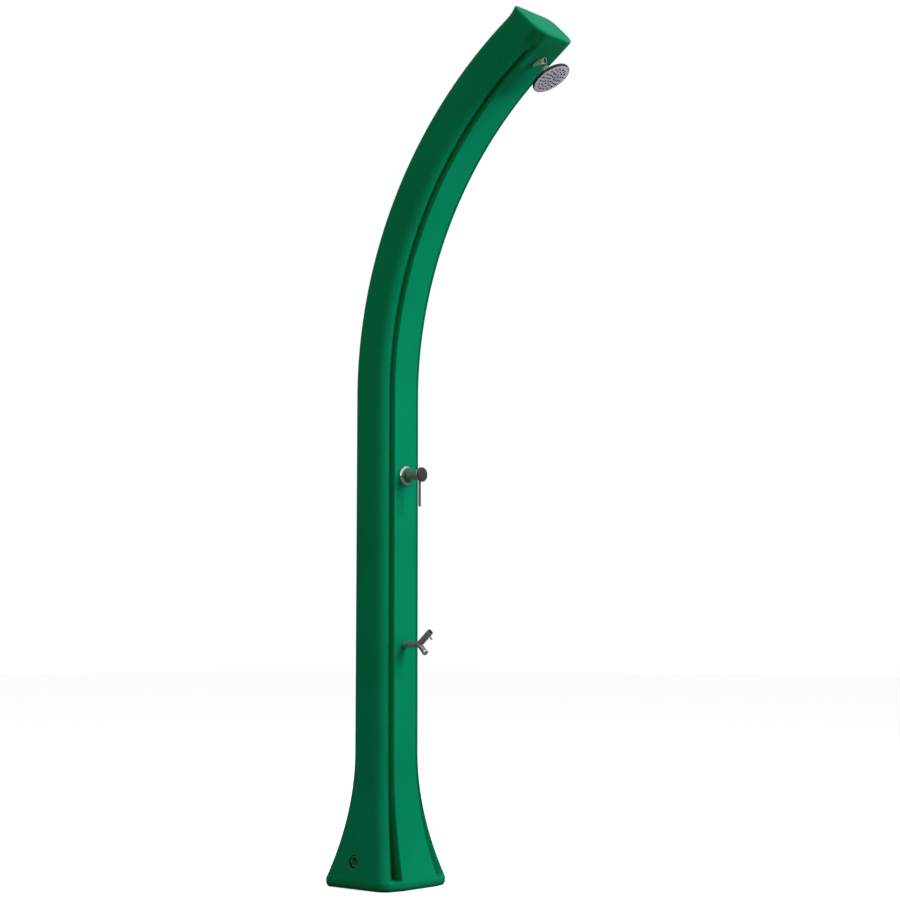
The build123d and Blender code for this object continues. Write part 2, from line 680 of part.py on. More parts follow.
with BuildPart() as mixer_nut:
    with BuildSketch(run_plane(*mixer_run, half_d)):
        Circle(21.0)
        Circle(15.95, mode=Mode.SUBTRACT)
        with PolarLocations(21.0, 4):
            Rectangle(4.0, 4.0, mode=Mode.SUBTRACT)
    extrude(amount=5.0)
mixer_nut.part.label = "mixer_nut"
export_step(mixer_nut.part, "parts/mixer_nut.step")

with BuildPart() as mixer_rose:
    # shallow domed cover over the nut
    with BuildSketch(Plane.YZ):
        outer = [(half_d, 25.5), (62.5, 25.4), (65.0, 24.2), (67.5, 21.6), (69.5, 17.6), (70.6, 14.0)]
        inner = [(70.6, nose_r + 0.05), (69.0, nose_r + 0.05), (67.4, 17.4), (65.5, 21.2), (63.2, 23.3),
                 (61.0, 24.0), (half_d, 24.0)]
        make_face(spun(*mixer_run, outer + inner))
    revolve(axis=mixer_axis)
mixer_rose.part.label = "mixer_rose"
export_step(mixer_rose.part, "parts/mixer_rose.step")

with BuildPart() as mixer_sleeve:
    with BuildSketch(run_plane(*mixer_run, 24.0)):
        Circle(mixer_bore - 0.05)
    extrude(amount=40.0)
    with BuildSketch(run_plane(*mixer_run, 30.0)):
        Circle(5.0)
    extrude(amount=40.0, mode=Mode.SUBTRACT)
    # ports through the wall, above and below
    for y, side in [(hot_y - 5.0, 1), (out_y, 1), (cold_y, -1)]:
        with BuildSketch(Plane(origin=(0, y, mixer_z + side * 3.0), x_dir=(1, 0, 0), z_dir=(0, 0, side))):
            Circle(2.6)
        extrude(amount=8.0, mode=Mode.SUBTRACT)
mixer_sleeve.part.label = "mixer_sleeve"
export_step(mixer_sleeve.part, "parts/mixer_sleeve.step")

with BuildPart() as mixer_turret:
    # turns for temperature; its fork carries the tilt pin
    with BuildSketch(run_plane(*mixer_run, 34.0)):
        Circle(4.95)
    extrude(amount=31.0)
    with BuildSketch(run_plane(*mixer_run, 64.1)):
        Circle(mixer_bore - 0.06)
    extrude(amount=pivot_reach + 2.3 - 64.1)
    with BuildSketch(run_plane(*mixer_run, pivot_reach - 9.0)):
        Rectangle(6.4, 20.0)
    extrude(amount=20.0, mode=Mode.SUBTRACT)
    with BuildSketch(Plane(origin=(-9, -pivot_reach, mixer_z), x_dir=(0, 1, 0), z_dir=(1, 0, 0))):
        Circle(1.5)
    extrude(amount=18.0, mode=Mode.SUBTRACT)
mixer_turret.part.label = "mixer_turret"
export_step(mixer_turret.part, "parts/mixer_turret.step")

with BuildPart() as mixer_tilt_pin:
    with BuildSketch(Plane(origin=(-7.3, -pivot_reach, mixer_z), x_dir=(0, 1, 0), z_dir=(1, 0, 0))):
        Circle(1.5)
    extrude(amount=14.6)
mixer_tilt_pin.part.label = "mixer_tilt_pin"
export_step(mixer_tilt_pin.part, "parts/mixer_tilt_pin.step")

hub_start = pivot_reach + 2.5
disc_reach = 111.0
lever_reach = 107.5     # hanging lever's axis
lever_r = 3.2
lever_drop = 81.5       # lever tip below the mixer axis
with BuildPart() as mixer_stem:
    with BuildSketch(run_plane(*mixer_run, pivot_reach - 4.0)):
        Circle(3.0)
    extrude(amount=disc_reach - 3.0 - pivot_reach + 4.0)
    with BuildSketch(Plane(origin=(-9, -pivot_reach, mixer_z), x_dir=(0, 1, 0), z_dir=(1, 0, 0))):
        Circle(1.55)
    extrude(amount=18.0, mode=Mode.SUBTRACT)
mixer_stem.part.label = "mixer_stem"
export_step(mixer_stem.part, "parts/mixer_stem.step")

with BuildPart() as mixer_handle:
    # hub with a ball cup behind and a wide thin disc in front
    with BuildSketch(Plane.YZ):
        cup_r = ball_r + 0.3
        cup_end = pivot_reach + sqrt(cup_r ** 2 - 3.05 ** 2)
        cup = ball_arc(pivot_reach, cup_r, hub_start, cup_end)
        make_face(spun(*mixer_run, cup + [(disc_reach - 3.0, 3.05), (disc_reach - 3.0, 0), (disc_reach + 2.3, 0),
                                          (disc_reach + 2.3, 18.2), (disc_reach + 1.9, 18.4),
                                          (disc_reach + 0.6, 18.4), (disc_reach, 17.8), (disc_reach, nose_r),
                                          (hub_start, nose_r)]))
    revolve(axis=mixer_axis)
    # lever socket underneath, set screw hole on top
    with BuildSketch(Plane(origin=(0, -lever_reach, mixer_z - 6.0), x_dir=(1, 0, 0), z_dir=(0, 0, -1))):
        Circle(lever_r)
    extrude(amount=20.0, mode=Mode.SUBTRACT)
    with BuildSketch(Plane(origin=(0, -lever_reach, mixer_z + 3.0), x_dir=(1, 0, 0), z_dir=(0, 0, 1))):
        Circle(2.0)
    extrude(amount=20.0, mode=Mode.SUBTRACT)
mixer_handle.part.label = "mixer_handle"
export_step(mixer_handle.part, "parts/mixer_handle.step")

with BuildPart() as handle_face:
    with BuildSketch(Plane.YZ):
        dome = [(disc_reach + 6.2, 18.0), (disc_reach + 7.3, 17.0), (disc_reach + 7.8, 15.0), (disc_reach + 8.1, 0)]
        make_face(spun(*mixer_run, [(disc_reach + 2.3, 0), (disc_reach + 2.3, 17.6), (disc_reach + 2.7, 18.0)]
                       + dome))
    revolve(axis=mixer_axis)
handle_face.part.label = "handle_face"
export_step(handle_face.part, "parts/handle_face.step")

with BuildPart() as handle_screw:
    with BuildSketch(Plane(origin=(0, -lever_reach, mixer_z + 3.1), x_dir=(1, 0, 0), z_dir=(0, 0, 1))):
        Circle(1.95)
    extrude(amount=8.0)
    with BuildSketch(Plane(origin=(0, -lever_reach, mixer_z + 9.0), x_dir=(1, 0, 0), z_dir=(0, 0, 1))):
        RegularPolygon(1.1, 6)
    extrude(amount=4.0, mode=Mode.SUBTRACT)
handle_screw.part.label = "handle_screw"
export_step(handle_screw.part, "parts/handle_screw.step")

with BuildPart() as mixer_lever:
    with BuildSketch(Plane(origin=(0, -lever_reach, mixer_z - 6.2), x_dir=(1, 0, 0), z_dir=(0, 0, -1))):
        Circle(lever_r)
    extrude(amount=lever_drop - 6.2)
    fillet(mixer_lever.faces().sort_by(Axis.Z)[0].edges(), radius=0.8)
mixer_lever.part.label = "mixer_lever"
export_step(mixer_lever.part, "parts/mixer_lever.step")

# ---------------------------------------------------------------- foot tap
pin_dir = (-cos(radians(tap_lean)), -sin(radians(tap_lean)))
tap_pin_plane = Plane(origin=(0, tap_run[0][0] + 40.5 * tap_dir[0], tap_run[0][1] + 40.5 * tap_dir[1]),
                      x_dir=(1, 0, 0), z_dir=(0, pin_dir[0], pin_dir[1]))

with BuildPart() as foot_tap_body:
    with BuildSketch(Plane.YZ):
        make_face(spun(*foot_run, [(36, 0), (36, 8.2), (half_d, 8.2), (half_d, 9.0), (61, 9.0), (62, 8.6),
                                   (junction_reach - 6.0, 8.6), (junction_reach - 6.0, 0)]))
    revolve(axis=run_axis(*foot_run))
    with BuildSketch(Plane.YZ):
        make_face(spun(*foot_run, ball_arc(junction_reach, 8.6, junction_reach - 8.6, junction_reach + 8.6, 12)))
    revolve(axis=run_axis(*foot_run))
    with BuildSketch(run_plane(*spout_run, 0.0)):
        Circle(7.2)
    extrude(amount=26.0)
    with BuildSketch(run_plane(*tap_run, 0.0)):
        Circle(8.0)
    extrude(amount=12.5)
    with BuildSketch(run_plane(*tap_run, 12.0)):
        Circle(6.0)
    extrude(amount=8.0)
    with BuildSketch(run_plane(*foot_run, 30.0)):
        Circle(5.0)
    extrude(amount=junction_reach - 30.0, mode=Mode.SUBTRACT)
    with BuildSketch(run_plane(*spout_run, 0.0)):
        Circle(5.4)
    extrude(amount=30.0, mode=Mode.SUBTRACT)
    with BuildSketch(run_plane(*tap_run, 4.0)):
        Circle(4.5)
    extrude(amount=30.0, mode=Mode.SUBTRACT)
foot_tap_body.part.label = "foot_tap_body"
export_step(foot_tap_body.part, "parts/foot_tap_body.step")

with BuildPart() as foot_tap_washer:
    with BuildSketch(run_plane(*foot_run, half_d - wall - 2.0)):
        Circle(14.0)
        Circle(8.25, mode=Mode.SUBTRACT)
    extrude(amount=2.0)
foot_tap_washer.part.label = "foot_tap_washer"
export_step(foot_tap_washer.part, "parts/foot_tap_washer.step")

with BuildPart() as foot_tap_nut:
    with BuildSketch(run_plane(*foot_run, half_d - wall - 9.0)):
        RegularPolygon(13.5, 6)
        Circle(8.25, mode=Mode.SUBTRACT)
    extrude(amount=7.0)
foot_tap_nut.part.label = "foot_tap_nut"
export_step(foot_tap_nut.part, "parts/foot_tap_nut.step")

with BuildPart() as foot_tap_headwork:
    with BuildSketch(run_plane(*tap_run, 7.0)):
        Circle(4.45)
        Circle(3.0, mode=Mode.SUBTRACT)
    extrude(amount=12.8)
foot_tap_headwork.part.label = "foot_tap_headwork"
export_step(foot_tap_headwork.part, "parts/foot_tap_headwork.step")

with BuildPart() as foot_tap_spindle:
    with BuildSketch(run_plane(*tap_run, 6.0)):
        Circle(2.95)
    extrude(amount=28.0)
foot_tap_spindle.part.label = "foot_tap_spindle"
export_step(foot_tap_spindle.part, "parts/foot_tap_spindle.step")

with BuildPart() as foot_tap_handle:
    with BuildSketch(Plane.YZ):
        make_face(spun(*tap_run, [(12.9, 6.06), (21, 6.06), (21, 2.95), (34, 2.95), (34, 0), (46.5, 0),
                                  (46.5, 6.6), (49.5, 6.6), (50, 7.2), (49.4, 8.0), (45.4, 8.0), (45, 7.5),
                                  (44.2, 7.5), (43.8, 8.0), (12.9, 8.0)]))
    revolve(axis=run_axis(*tap_run))
    with BuildSketch(tap_pin_plane.offset(3.9)):
        Circle(2.1)
    extrude(amount=8.0, mode=Mode.SUBTRACT)
foot_tap_handle.part.label = "foot_tap_handle"
export_step(foot_tap_handle.part, "parts/foot_tap_handle.step")

with BuildPart() as foot_tap_cap:
    with BuildSketch(run_plane(*tap_run, 46.5)):
        Circle(6.55)
    extrude(amount=2.6)
foot_tap_cap.part.label = "foot_tap_cap"
export_step(foot_tap_cap.part, "parts/foot_tap_cap.step")

with BuildPart() as foot_tap_pin:
    with BuildSketch(tap_pin_plane.offset(4.0)):
        Circle(2.1)
    extrude(amount=15.0)
    fillet(foot_tap_pin.faces().sort_by(Axis((0, 0, 0), tuple(tap_pin_plane.z_dir)))[-1].edges(), radius=0.6)
foot_tap_pin.part.label = "foot_tap_pin"
export_step(foot_tap_pin.part, "parts/foot_tap_pin.step")

with BuildPart() as foot_tap_aerator:
    with BuildSketch(Plane.YZ):
        make_face(spun(*spout_run, [(22, 0), (22, 5.35), (26.1, 5.35), (26.1, 7.6), (31.2, 7.6), (32, 6.9),
                                    (32, 5.6), (29, 5.6), (29, 0)]))
    revolve(axis=run_axis(*spout_run))
    with BuildSketch(run_plane(*spout_run, 20.0)):
        for ring, count in [(1.6, 4), (3.8, 9)]:
            with PolarLocations(ring, count):
                Circle(0.6)
    extrude(amount=14.0, mode=Mode.SUBTRACT)
foot_tap_aerator.part.label = "foot_tap_aerator"
export_step(foot_tap_aerator.part, "parts/foot_tap_aerator.step")

# ---------------------------------------------------------------- shower arm
with BuildPart() as arm_insert:
    # threaded insert in the boss, with a hose tail for the riser
    with BuildSketch(Plane.YZ):
        make_face(spun(*arm_run, [(-58, tube_r + 0.05), (-52, tube_r + 0.05), (-52, tube_bore), (-48, tube_bore),
                                  (-48, 6.5), (-24, 6.5), (-24, 11), (-48, 11), (-52, 9), (-58, 9)]))
    revolve(axis=run_axis(*arm_run))
arm_insert.part.label = "arm_insert"
export_step(arm_insert.part, "parts/arm_insert.step")

barrel_r = 7.5
with BuildPart() as shower_arm:
    with BuildSketch(Plane.YZ):
        make_face(spun(*arm_run, [(-44, 4.0), (-44, 6.5), (-24, 6.5), (-24, barrel_r), (arm_reach - 0.6, barrel_r),
                                  (arm_reach, barrel_r - 0.6), (arm_reach, 6.2), (arm_reach - 2.0, 6.2),
                                  (arm_reach - 2.0, 0), (arm_reach - 5.0, 0), (arm_reach - 5.0, 4.0)]))
    revolve(axis=run_axis(*arm_run))
    with BuildSketch(run_plane(*neck_run, 4.0)):
        Circle(5.0)
    extrude(amount=7.0)
    with BuildSketch(run_plane(*neck_run, 1.0)):
        Circle(2.5)
    extrude(amount=14.0, mode=Mode.SUBTRACT)
    # pocket for the end cap
    with BuildSketch(run_plane(*arm_run, arm_reach - 2.0)):
        Circle(6.2)
    extrude(amount=4.0, mode=Mode.SUBTRACT)
shower_arm.part.label = "shower_arm"
export_step(shower_arm.part, "parts/shower_arm.step")

with BuildPart() as arm_cap:
    with BuildSketch(run_plane(*arm_run, arm_reach - 2.0)):
        Circle(6.15)
    extrude(amount=2.2)
arm_cap.part.label = "arm_cap"
export_step(arm_cap.part, "parts/arm_cap.step")

with BuildPart() as arm_seal:
    # ring between the insert and the skin, round the barrel
    with BuildSketch(run_plane(*arm_run, -23.9)):
        Circle(8.95)
        Circle(barrel_r + 0.05, mode=Mode.SUBTRACT)
    extrude(amount=5.8)
arm_seal.part.label = "arm_seal"
export_step(arm_seal.part, "parts/arm_seal.step")

# ---------------------------------------------------------------- shower head, a along the head axis
ball_a = 25.0
stud_ball = 8.0

with BuildPart() as ball_stud:
    with BuildSketch(Plane.YZ):
        ball = ball_arc(ball_a, stud_ball, ball_a - sqrt(stud_ball ** 2 - 16.0), ball_a + 7.6, 10)
        make_face(spun(*neck_run, [(11.0, 2.5), (11.0, 4.0)] + ball + [(ball_a + 7.6, 2.45)]))
    revolve(axis=run_axis(*neck_run))
ball_stud.part.label = "ball_stud"
export_step(ball_stud.part, "parts/ball_stud.step")

# the head's own axis passes through the ball centre, leaning forward and swung sideways
ball_centre = Vector(0, neck_run[0][0] + ball_a * neck_dir[0], neck_run[0][1] + ball_a * neck_dir[1])
head_dir = Vector(sin(radians(head_swing)), -cos(radians(head_swing)) * sin(radians(head_lean)),
                  -cos(radians(head_swing)) * cos(radians(head_lean)))
head_side = Vector(cos(radians(head_swing)), sin(radians(head_swing)) * sin(radians(head_lean)),
                   sin(radians(head_swing)) * cos(radians(head_lean)))
head_origin = ball_centre - head_dir * ball_a
head_axis = Axis(head_origin, head_dir)
head_profile_plane = Plane(origin=head_origin, x_dir=head_dir, z_dir=head_side)


def head_plane(a):
    """Plane square to the head axis, a along it."""
    return Plane(origin=head_origin + head_dir * a, x_dir=head_side, z_dir=head_dir)


with BuildPart() as swivel_cup:
    # thin bearing cup on the front of the ball, between ball and nut
    with BuildSketch(head_profile_plane):
        with BuildLine():
            Polyline(*ball_arc(ball_a, stud_ball + 0.05, ball_a + 1.0, ball_a + 6.5), (ball_a + 9.0, 4.7),
                     (ball_a + 9.0, 9.2), (ball_a + 1.0, 9.2), close=True)
        make_face()
    revolve(axis=head_axis)
swivel_cup.part.label = "swivel_cup"
export_step(swivel_cup.part, "parts/swivel_cup.step")

with BuildPart() as swivel_nut:
    with BuildSketch(head_profile_plane):
        with BuildLine():
            Polyline(*ball_arc(ball_a, stud_ball + 0.08, ball_a - 4.5, ball_a), (ball_a + 0.9, stud_ball + 0.08),
                     (ball_a + 0.9, 9.25), (ball_a + 12.0, 9.25), (ball_a + 12.0, 13.2), (ball_a + 6.0, 12.6),
                     (ball_a - 3.0, 10.0), (ball_a - 4.5, 8.8), close=True)
        make_face()
    revolve(axis=head_axis)
swivel_nut.part.label = "swivel_nut"
export_step(swivel_nut.part, "parts/swivel_nut.step")

back_a = ball_a + 12.0
rim_a = back_a + 19.0
head_r = 50.0
with BuildPart() as head_shell:
    with BuildSketch(head_profile_plane):
        outer = [(back_a - 2.9, 4.7), (back_a - 2.9, 9.2), (back_a, 9.2), (back_a, 15.0), (back_a + 3.0, 15.2),
                 (back_a + 4.0, 19.0), (back_a + 6.5, 34.0), (back_a + 9.5, 45.0), (back_a + 12.0, 49.2),
                 (back_a + 14.0, head_r), (rim_a - 1.0, head_r), (rim_a, head_r - 0.8)]
        inner = [(rim_a, head_r - 2.0), (rim_a - 3.0, head_r - 2.0), (rim_a - 3.0, head_r - 4.0),
                 (back_a + 13.0, head_r - 4.5), (back_a + 9.0, 34.0), (back_a + 6.5, 19.0), (back_a + 5.0, 4.7)]
        with BuildLine():
            Polyline(*outer, *inner, close=True)
        make_face()
    revolve(axis=head_axis)
head_shell.part.label = "head_shell"
export_step(head_shell.part, "parts/head_shell.step")

with BuildPart() as head_gasket:
    with BuildSketch(head_plane(rim_a - 3.0)):
        Circle(head_r - 2.1)
        Circle(head_r - 4.0, mode=Mode.SUBTRACT)
    extrude(amount=0.8)
head_gasket.part.label = "head_gasket"
export_step(head_gasket.part, "parts/head_gasket.step")

nozzle_rings = [(9.0, 6), (18.0, 10), (27.0, 14), (36.0, 18)]
with BuildPart() as head_plate:
    with BuildSketch(head_plane(rim_a - 2.2)):
        Circle(head_r - 2.1)
    extrude(amount=2.2)
    with BuildSketch(head_plane(rim_a - 4.0)):
        for ring, count in nozzle_rings:
            with PolarLocations(ring, count):
                Circle(1.9)
    extrude(amount=8.0, mode=Mode.SUBTRACT)
head_plate.part.label = "head_plate"
export_step(head_plate.part, "parts/head_plate.step")

with BuildPart() as nozzles:
    with BuildSketch(head_plane(rim_a - 2.2)):
        for ring, count in nozzle_rings:
            with PolarLocations(ring, count):
                Circle(1.9)
                Circle(0.6, mode=Mode.SUBTRACT)
    extrude(amount=4.0)
nozzles.part.label = "nozzles"
export_step(nozzles.part, "parts/nozzles.step")
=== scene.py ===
import json
import math
import bpy
import bmesh
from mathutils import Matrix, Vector


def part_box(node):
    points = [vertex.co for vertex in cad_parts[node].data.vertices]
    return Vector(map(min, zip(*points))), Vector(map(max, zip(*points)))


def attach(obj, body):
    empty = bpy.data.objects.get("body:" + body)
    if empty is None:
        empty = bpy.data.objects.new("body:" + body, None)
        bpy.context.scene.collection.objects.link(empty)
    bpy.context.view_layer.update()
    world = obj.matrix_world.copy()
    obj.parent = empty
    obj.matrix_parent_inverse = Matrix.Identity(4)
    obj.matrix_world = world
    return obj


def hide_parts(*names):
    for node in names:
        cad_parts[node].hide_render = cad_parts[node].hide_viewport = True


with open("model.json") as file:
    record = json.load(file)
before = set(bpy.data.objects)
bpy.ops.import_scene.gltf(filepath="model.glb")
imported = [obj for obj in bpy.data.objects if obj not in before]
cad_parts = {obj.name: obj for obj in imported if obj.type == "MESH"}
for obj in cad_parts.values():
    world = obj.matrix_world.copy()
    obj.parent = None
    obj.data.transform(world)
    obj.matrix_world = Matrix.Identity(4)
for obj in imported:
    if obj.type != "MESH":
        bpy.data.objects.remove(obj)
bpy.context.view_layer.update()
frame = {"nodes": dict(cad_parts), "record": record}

MM = 0.001


# ------------------------------------------------------------------ column geometry, in mm, as the CAD has it
HALF_W, HALF_D, PANEL_HALF = 74.0, 59.0, 40.0
RIDGE_DROP, R_REAR, R_FRONT, RIDGE_TURN = 9.7, 26.0, 36.0, math.radians(58.0)
GROOVE, GROOVE_RATE = 15.0, 0.43
STRAIGHT, BEND_R, BEND, TIP = 1245.0, 990.0, math.radians(58.0), 71.5
LIP, TILT, SETBACK = 5.0, math.radians(12.0), 12.0
FLARE_H, FLARE_R, RIM = 339.0, 1128.0, 20.0
REAR_RATE, FRONT_RATE, PANEL_RATE = 1.24, 1.21, 0.53
RIM_TUCK, RIM_TUCK_H = 3.0, 10.0
LIP_LENGTH, LIP_POWER = 52.0, 1.8
GROOVE_START, GROOVE_START_RUN = 21.0, 7.0
GROOVE_END_BACK, GROOVE_END_RUN = 76.0, 48.0
GROOVE_FLOOR_IN, GROOVE_BOW, CREST_ROUND = 3.0, 1.6, 2.6
WALL_FOOT_IN, WALL_FOOT_UP, WALL_TOP_IN = 2.6, 1.2, 0.7
RIDGE_PART = 0.86
END_ROUND, END_RINGS = 6.5, 8
WALL, FOOT_ROOM = 4.0, 124.0
LENGTH = STRAIGHT + BEND_R * BEND + TIP


def smooth(x):
    x = min(1.0, max(0.0, x))
    return x * x * (3.0 - 2.0 * x)


def growth(s):
    """Outward growth of the section at path length s: base flare and end lip."""
    if s < FLARE_H:
        run = FLARE_H - max(s, RIM)
        return run * run / (2.0 * FLARE_R) - RIM_TUCK * max(0.0, 1.0 - s / RIM_TUCK_H) ** 2
    return LIP * lip_share(s)


def lip_share(s):
    """0 below the end lip, rising to 1 at the end face."""
    return max(0.0, (s - (LENGTH - LIP_LENGTH)) / LIP_LENGTH) ** LIP_POWER


def place(s, x, v):
    """Row-frame point of a section point: x across, v forward of the path, at path length s."""
    s += v * math.tan(TILT * min(1.0, lip_share(s)))
    turn = min(max(s - STRAIGHT, 0.0) / BEND_R, BEND)
    y0 = -BEND_R + BEND_R * math.cos(turn)
    z0 = min(s, STRAIGHT) + BEND_R * math.sin(turn)
    extra = s - STRAIGHT - BEND_R * turn
    if s > STRAIGHT and extra > 0:
        y0 -= extra * math.sin(turn)
        z0 += extra * math.cos(turn)
    return Vector((x, y0 - v * math.cos(turn), z0 - v * math.sin(turn))) * MM


def arc(cx, cv, r, a0, a1, n):
    turns = [a0 + (a1 - a0) * i / n for i in range(n + 1)]
    return [(cx + r * math.cos(a), cv + r * math.sin(a)) for a in turns]


def half_section(g, fill, setback=0.0):
    """Right half of the outer section from rear centre to panel centre, as (x, v) points."""
    hw = HALF_W + g
    rear = -(HALF_D + REAR_RATE * g)
    front = HALF_D + FRONT_RATE * g - setback
    edge = PANEL_HALF + PANEL_RATE * g
    arc_v = front - RIDGE_DROP - R_FRONT * math.sin(RIDGE_TURN)
    pts = [((hw - R_REAR) * t / 5.0, rear) for t in range(5)]
    pts += arc(hw - R_REAR, rear + R_REAR, R_REAR, -math.pi / 2, 0.0, 10)
    side_lo, side_hi = rear + R_REAR, arc_v
    pts += [(hw, side_lo + (side_hi - side_lo) * t / 5.0) for t in range(1, 5)]
    pts += arc(hw - R_FRONT, arc_v, R_FRONT, 0.0, RIDGE_TURN, 14)
    ridge = Vector(pts[-1])
    crest = Vector((edge, front))
    # from the ridge down into the groove, up its wall and round the panel's crest
    steps = [0.03, 0.09, 0.18, 0.30, 0.43, 0.56, 0.68, 0.78, 0.86, 0.92, 0.955, 0.975, 0.985, 0.995, 1.0]
    deep = GROOVE + GROOVE_RATE * g
    foot = Vector((edge + GROOVE_FLOOR_IN, front - deep))
    wall_low = Vector((edge + WALL_FOOT_IN, front - deep + WALL_FOOT_UP))
    wall_top = Vector((edge + WALL_TOP_IN, front - CREST_ROUND))
    wall_part = 0.7
    for t in steps:
        flat = ridge.lerp(crest, t)
        if t <= RIDGE_PART:
            k = t / RIDGE_PART
            cut = ridge.lerp(foot, k) + Vector((0.0, -GROOVE_BOW * math.sin(math.pi * k)))
        else:
            k = (t - RIDGE_PART) / (1.0 - RIDGE_PART)
            if k > wall_part:
                a = (k - wall_part) / (1.0 - wall_part) * math.pi / 2
                cut = wall_top + Vector((math.cos(a) - 1.0, math.sin(a))) * CREST_ROUND
            else:
                cut = wall_low.lerp(wall_top, k / wall_part)
        pts.append(tuple(flat.lerp(cut, fill)))
    last = pts[-1][0]
    pts += [(last * (1.0 - t / 6.0), front) for t in range(1, 7)]
    return pts


def groove_fill(s):
    """How deep the groove is at path length s: 0 where it has run out, 1 in full."""
    low = smooth((s - GROOVE_START) / GROOVE_START_RUN)
    high = 1.0 - smooth((s - (LENGTH - GROOVE_END_BACK)) / GROOVE_END_RUN)
    return low * high


def ring_from(half):
    """Whole section from its right half."""
    left = [(-x, v) for x, v in reversed(half[1:-1])]
    return half + left


def steps_between(first, end, step):
    out = []
    while first < end:
        out.append(first)
        first += step
    return out


def path_stations():
    """Path lengths of the section rings: close together at the rim, the groove ends and the lip."""
    stations = [0.0, 1.0, 2.5, 4.5, 7.0, 10.0, 14.0, 18.0, 20.0, 21.5, 23.0, 24.5, 26.0, 27.5, 29.0, 32.0]
    stations += steps_between(40.0, FLARE_H + 20, 12.0)
    stations += steps_between(stations[-1] + 12.0, STRAIGHT - 20, 36.0)
    stations += steps_between(STRAIGHT - 10, LENGTH - 96.0, 14.0)
    stations += steps_between(LENGTH - 94.0, LENGTH - 6.0, 4.0)
    return stations + [LENGTH - END_ROUND]


def bridge(bm, rings, flipped=False):
    """Quads between each ring of vertices and the next."""
    count = len(rings[0])
    for lower, upper in zip(rings, rings[1:]):
        for i in range(count):
            j = (i + 1) % count
            corners = (lower[i], lower[j], upper[j], upper[i])
            if flipped:
                corners = (lower[j], lower[i], upper[i], upper[j])
            bm.faces.new(corners)


def column_mesh():
    bm = bmesh.new()
    rings = []
    for s in path_stations():
        ring = ring_from(half_section(growth(s), groove_fill(s), SETBACK * lip_share(s)))
        rings.append([bm.verts.new(place(s, x, v)) for x, v in ring])
    # rounded end edge, then the flat end face
    shoulder = LENGTH - END_ROUND
    g_end = growth(shoulder)
    outline = ring_from(half_section(g_end, 0.0, SETBACK * lip_share(shoulder)))
    hw, hd = HALF_W + g_end, HALF_D + g_end
    for k in range(1, END_RINGS + 1):
        a = math.pi / 2 * k / END_RINGS
        inset = END_ROUND * (1.0 - math.cos(a))
        s = shoulder + END_ROUND * math.sin(a)
        spots = [place(s, x * (hw - inset) / hw, v * (hd - inset) / hd) for x, v in outline]
        rings.append([bm.verts.new(spot) for spot in spots])
    for k in range(1, END_RINGS + 1):
        f = 1.0 - k / (END_RINGS + 1.0)
        fx, fv = f * (hw - END_ROUND) / hw, f * (hd - END_ROUND) / hd
        rings.append([bm.verts.new(place(LENGTH, x * fx, v * fv)) for x, v in outline])
    bridge(bm, rings)
    count = len(rings[0])
    centre = bm.verts.new(place(LENGTH, 0.0, 0.0))
    for i in range(count):
        bm.faces.new((rings[-1][i], rings[-1][(i + 1) % count], centre))
    # underside: turn in by the wall thickness and go up inside the foot
    inner = []
    for s in [0.0, 10.0, 20.0, 50.0, 90.0, FOOT_ROOM]:
        g = growth(s)
        hw, hd = HALF_W + g, HALF_D + 1.2 * g
        fx, fv = (hw - WALL) / hw, (hd - WALL) / hd
        pocket = PANEL_HALF + PANEL_RATE * g - WALL
        behind = HALF_D + FRONT_RATE * g - GROOVE - WALL
        if s > 15.0:
            behind -= GROOVE_RATE * g
        ring = []
        for x, v in ring_from(half_section(g, 0.0)):
            depth = min(v * fv, behind) if abs(x) > pocket else v * fv
            ring.append(bm.verts.new(place(s, x * fx, depth)))
        inner.append(ring)
    bridge(bm, [rings[0]] + inner, True)
    roof = bm.verts.new(place(FOOT_ROOM, 0.0, 0.0))
    for i in range(count):
        bm.faces.new((inner[-1][(i + 1) % count], inner[-1][i], roof))
    return bm


# ------------------------------------------------------------------ mesh helpers
def finish_object(name, bm, mat, body, sharp=32.0):
    """Object from a bmesh, smooth but for edges sharper than the angle, riding on a body."""
    bmesh.ops.recalc_face_normals(bm, faces=bm.faces)
    for f in bm.faces:
        f.smooth = True
    for e in bm.edges:
        e.smooth = not (len(e.link_faces) == 2 and e.calc_face_angle(0.0) > math.radians(sharp))
    mesh = bpy.data.meshes.new(name)
    bm.to_mesh(mesh)
    bm.free()
    obj = bpy.data.objects.new(name, mesh)
    bpy.context.scene.collection.objects.link(obj)
    mesh.materials.append(mat)
    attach(obj, body)
    return obj


def soften(points, radius, n=4, closed=True):
    """Rounds the corners of a profile of (a, r) points."""
    pts = [Vector(p) for p in points]
    out = []
    count = len(pts)
    for i, p in enumerate(pts):
        if not closed and i in (0, count - 1):
            out.append(tuple(p))
            continue
        q0, q1 = pts[i - 1], pts[(i + 1) % count]
        d0, d1 = q0 - p, q1 - p
        cut = min(radius, 0.45 * d0.length, 0.45 * d1.length)
        if d0.length < 1e-9 or d1.length < 1e-9 or abs(d0.normalized().dot(d1.normalized())) > 0.995:
            out.append(tuple(p))
            continue
        a, b = p + d0.normalized() * cut, p + d1.normalized() * cut
        for k in range(n + 1):
            t = k / n
            out.append(tuple(a * (1 - t) ** 2 + p * 2 * t * (1 - t) + b * t * t))
    return out


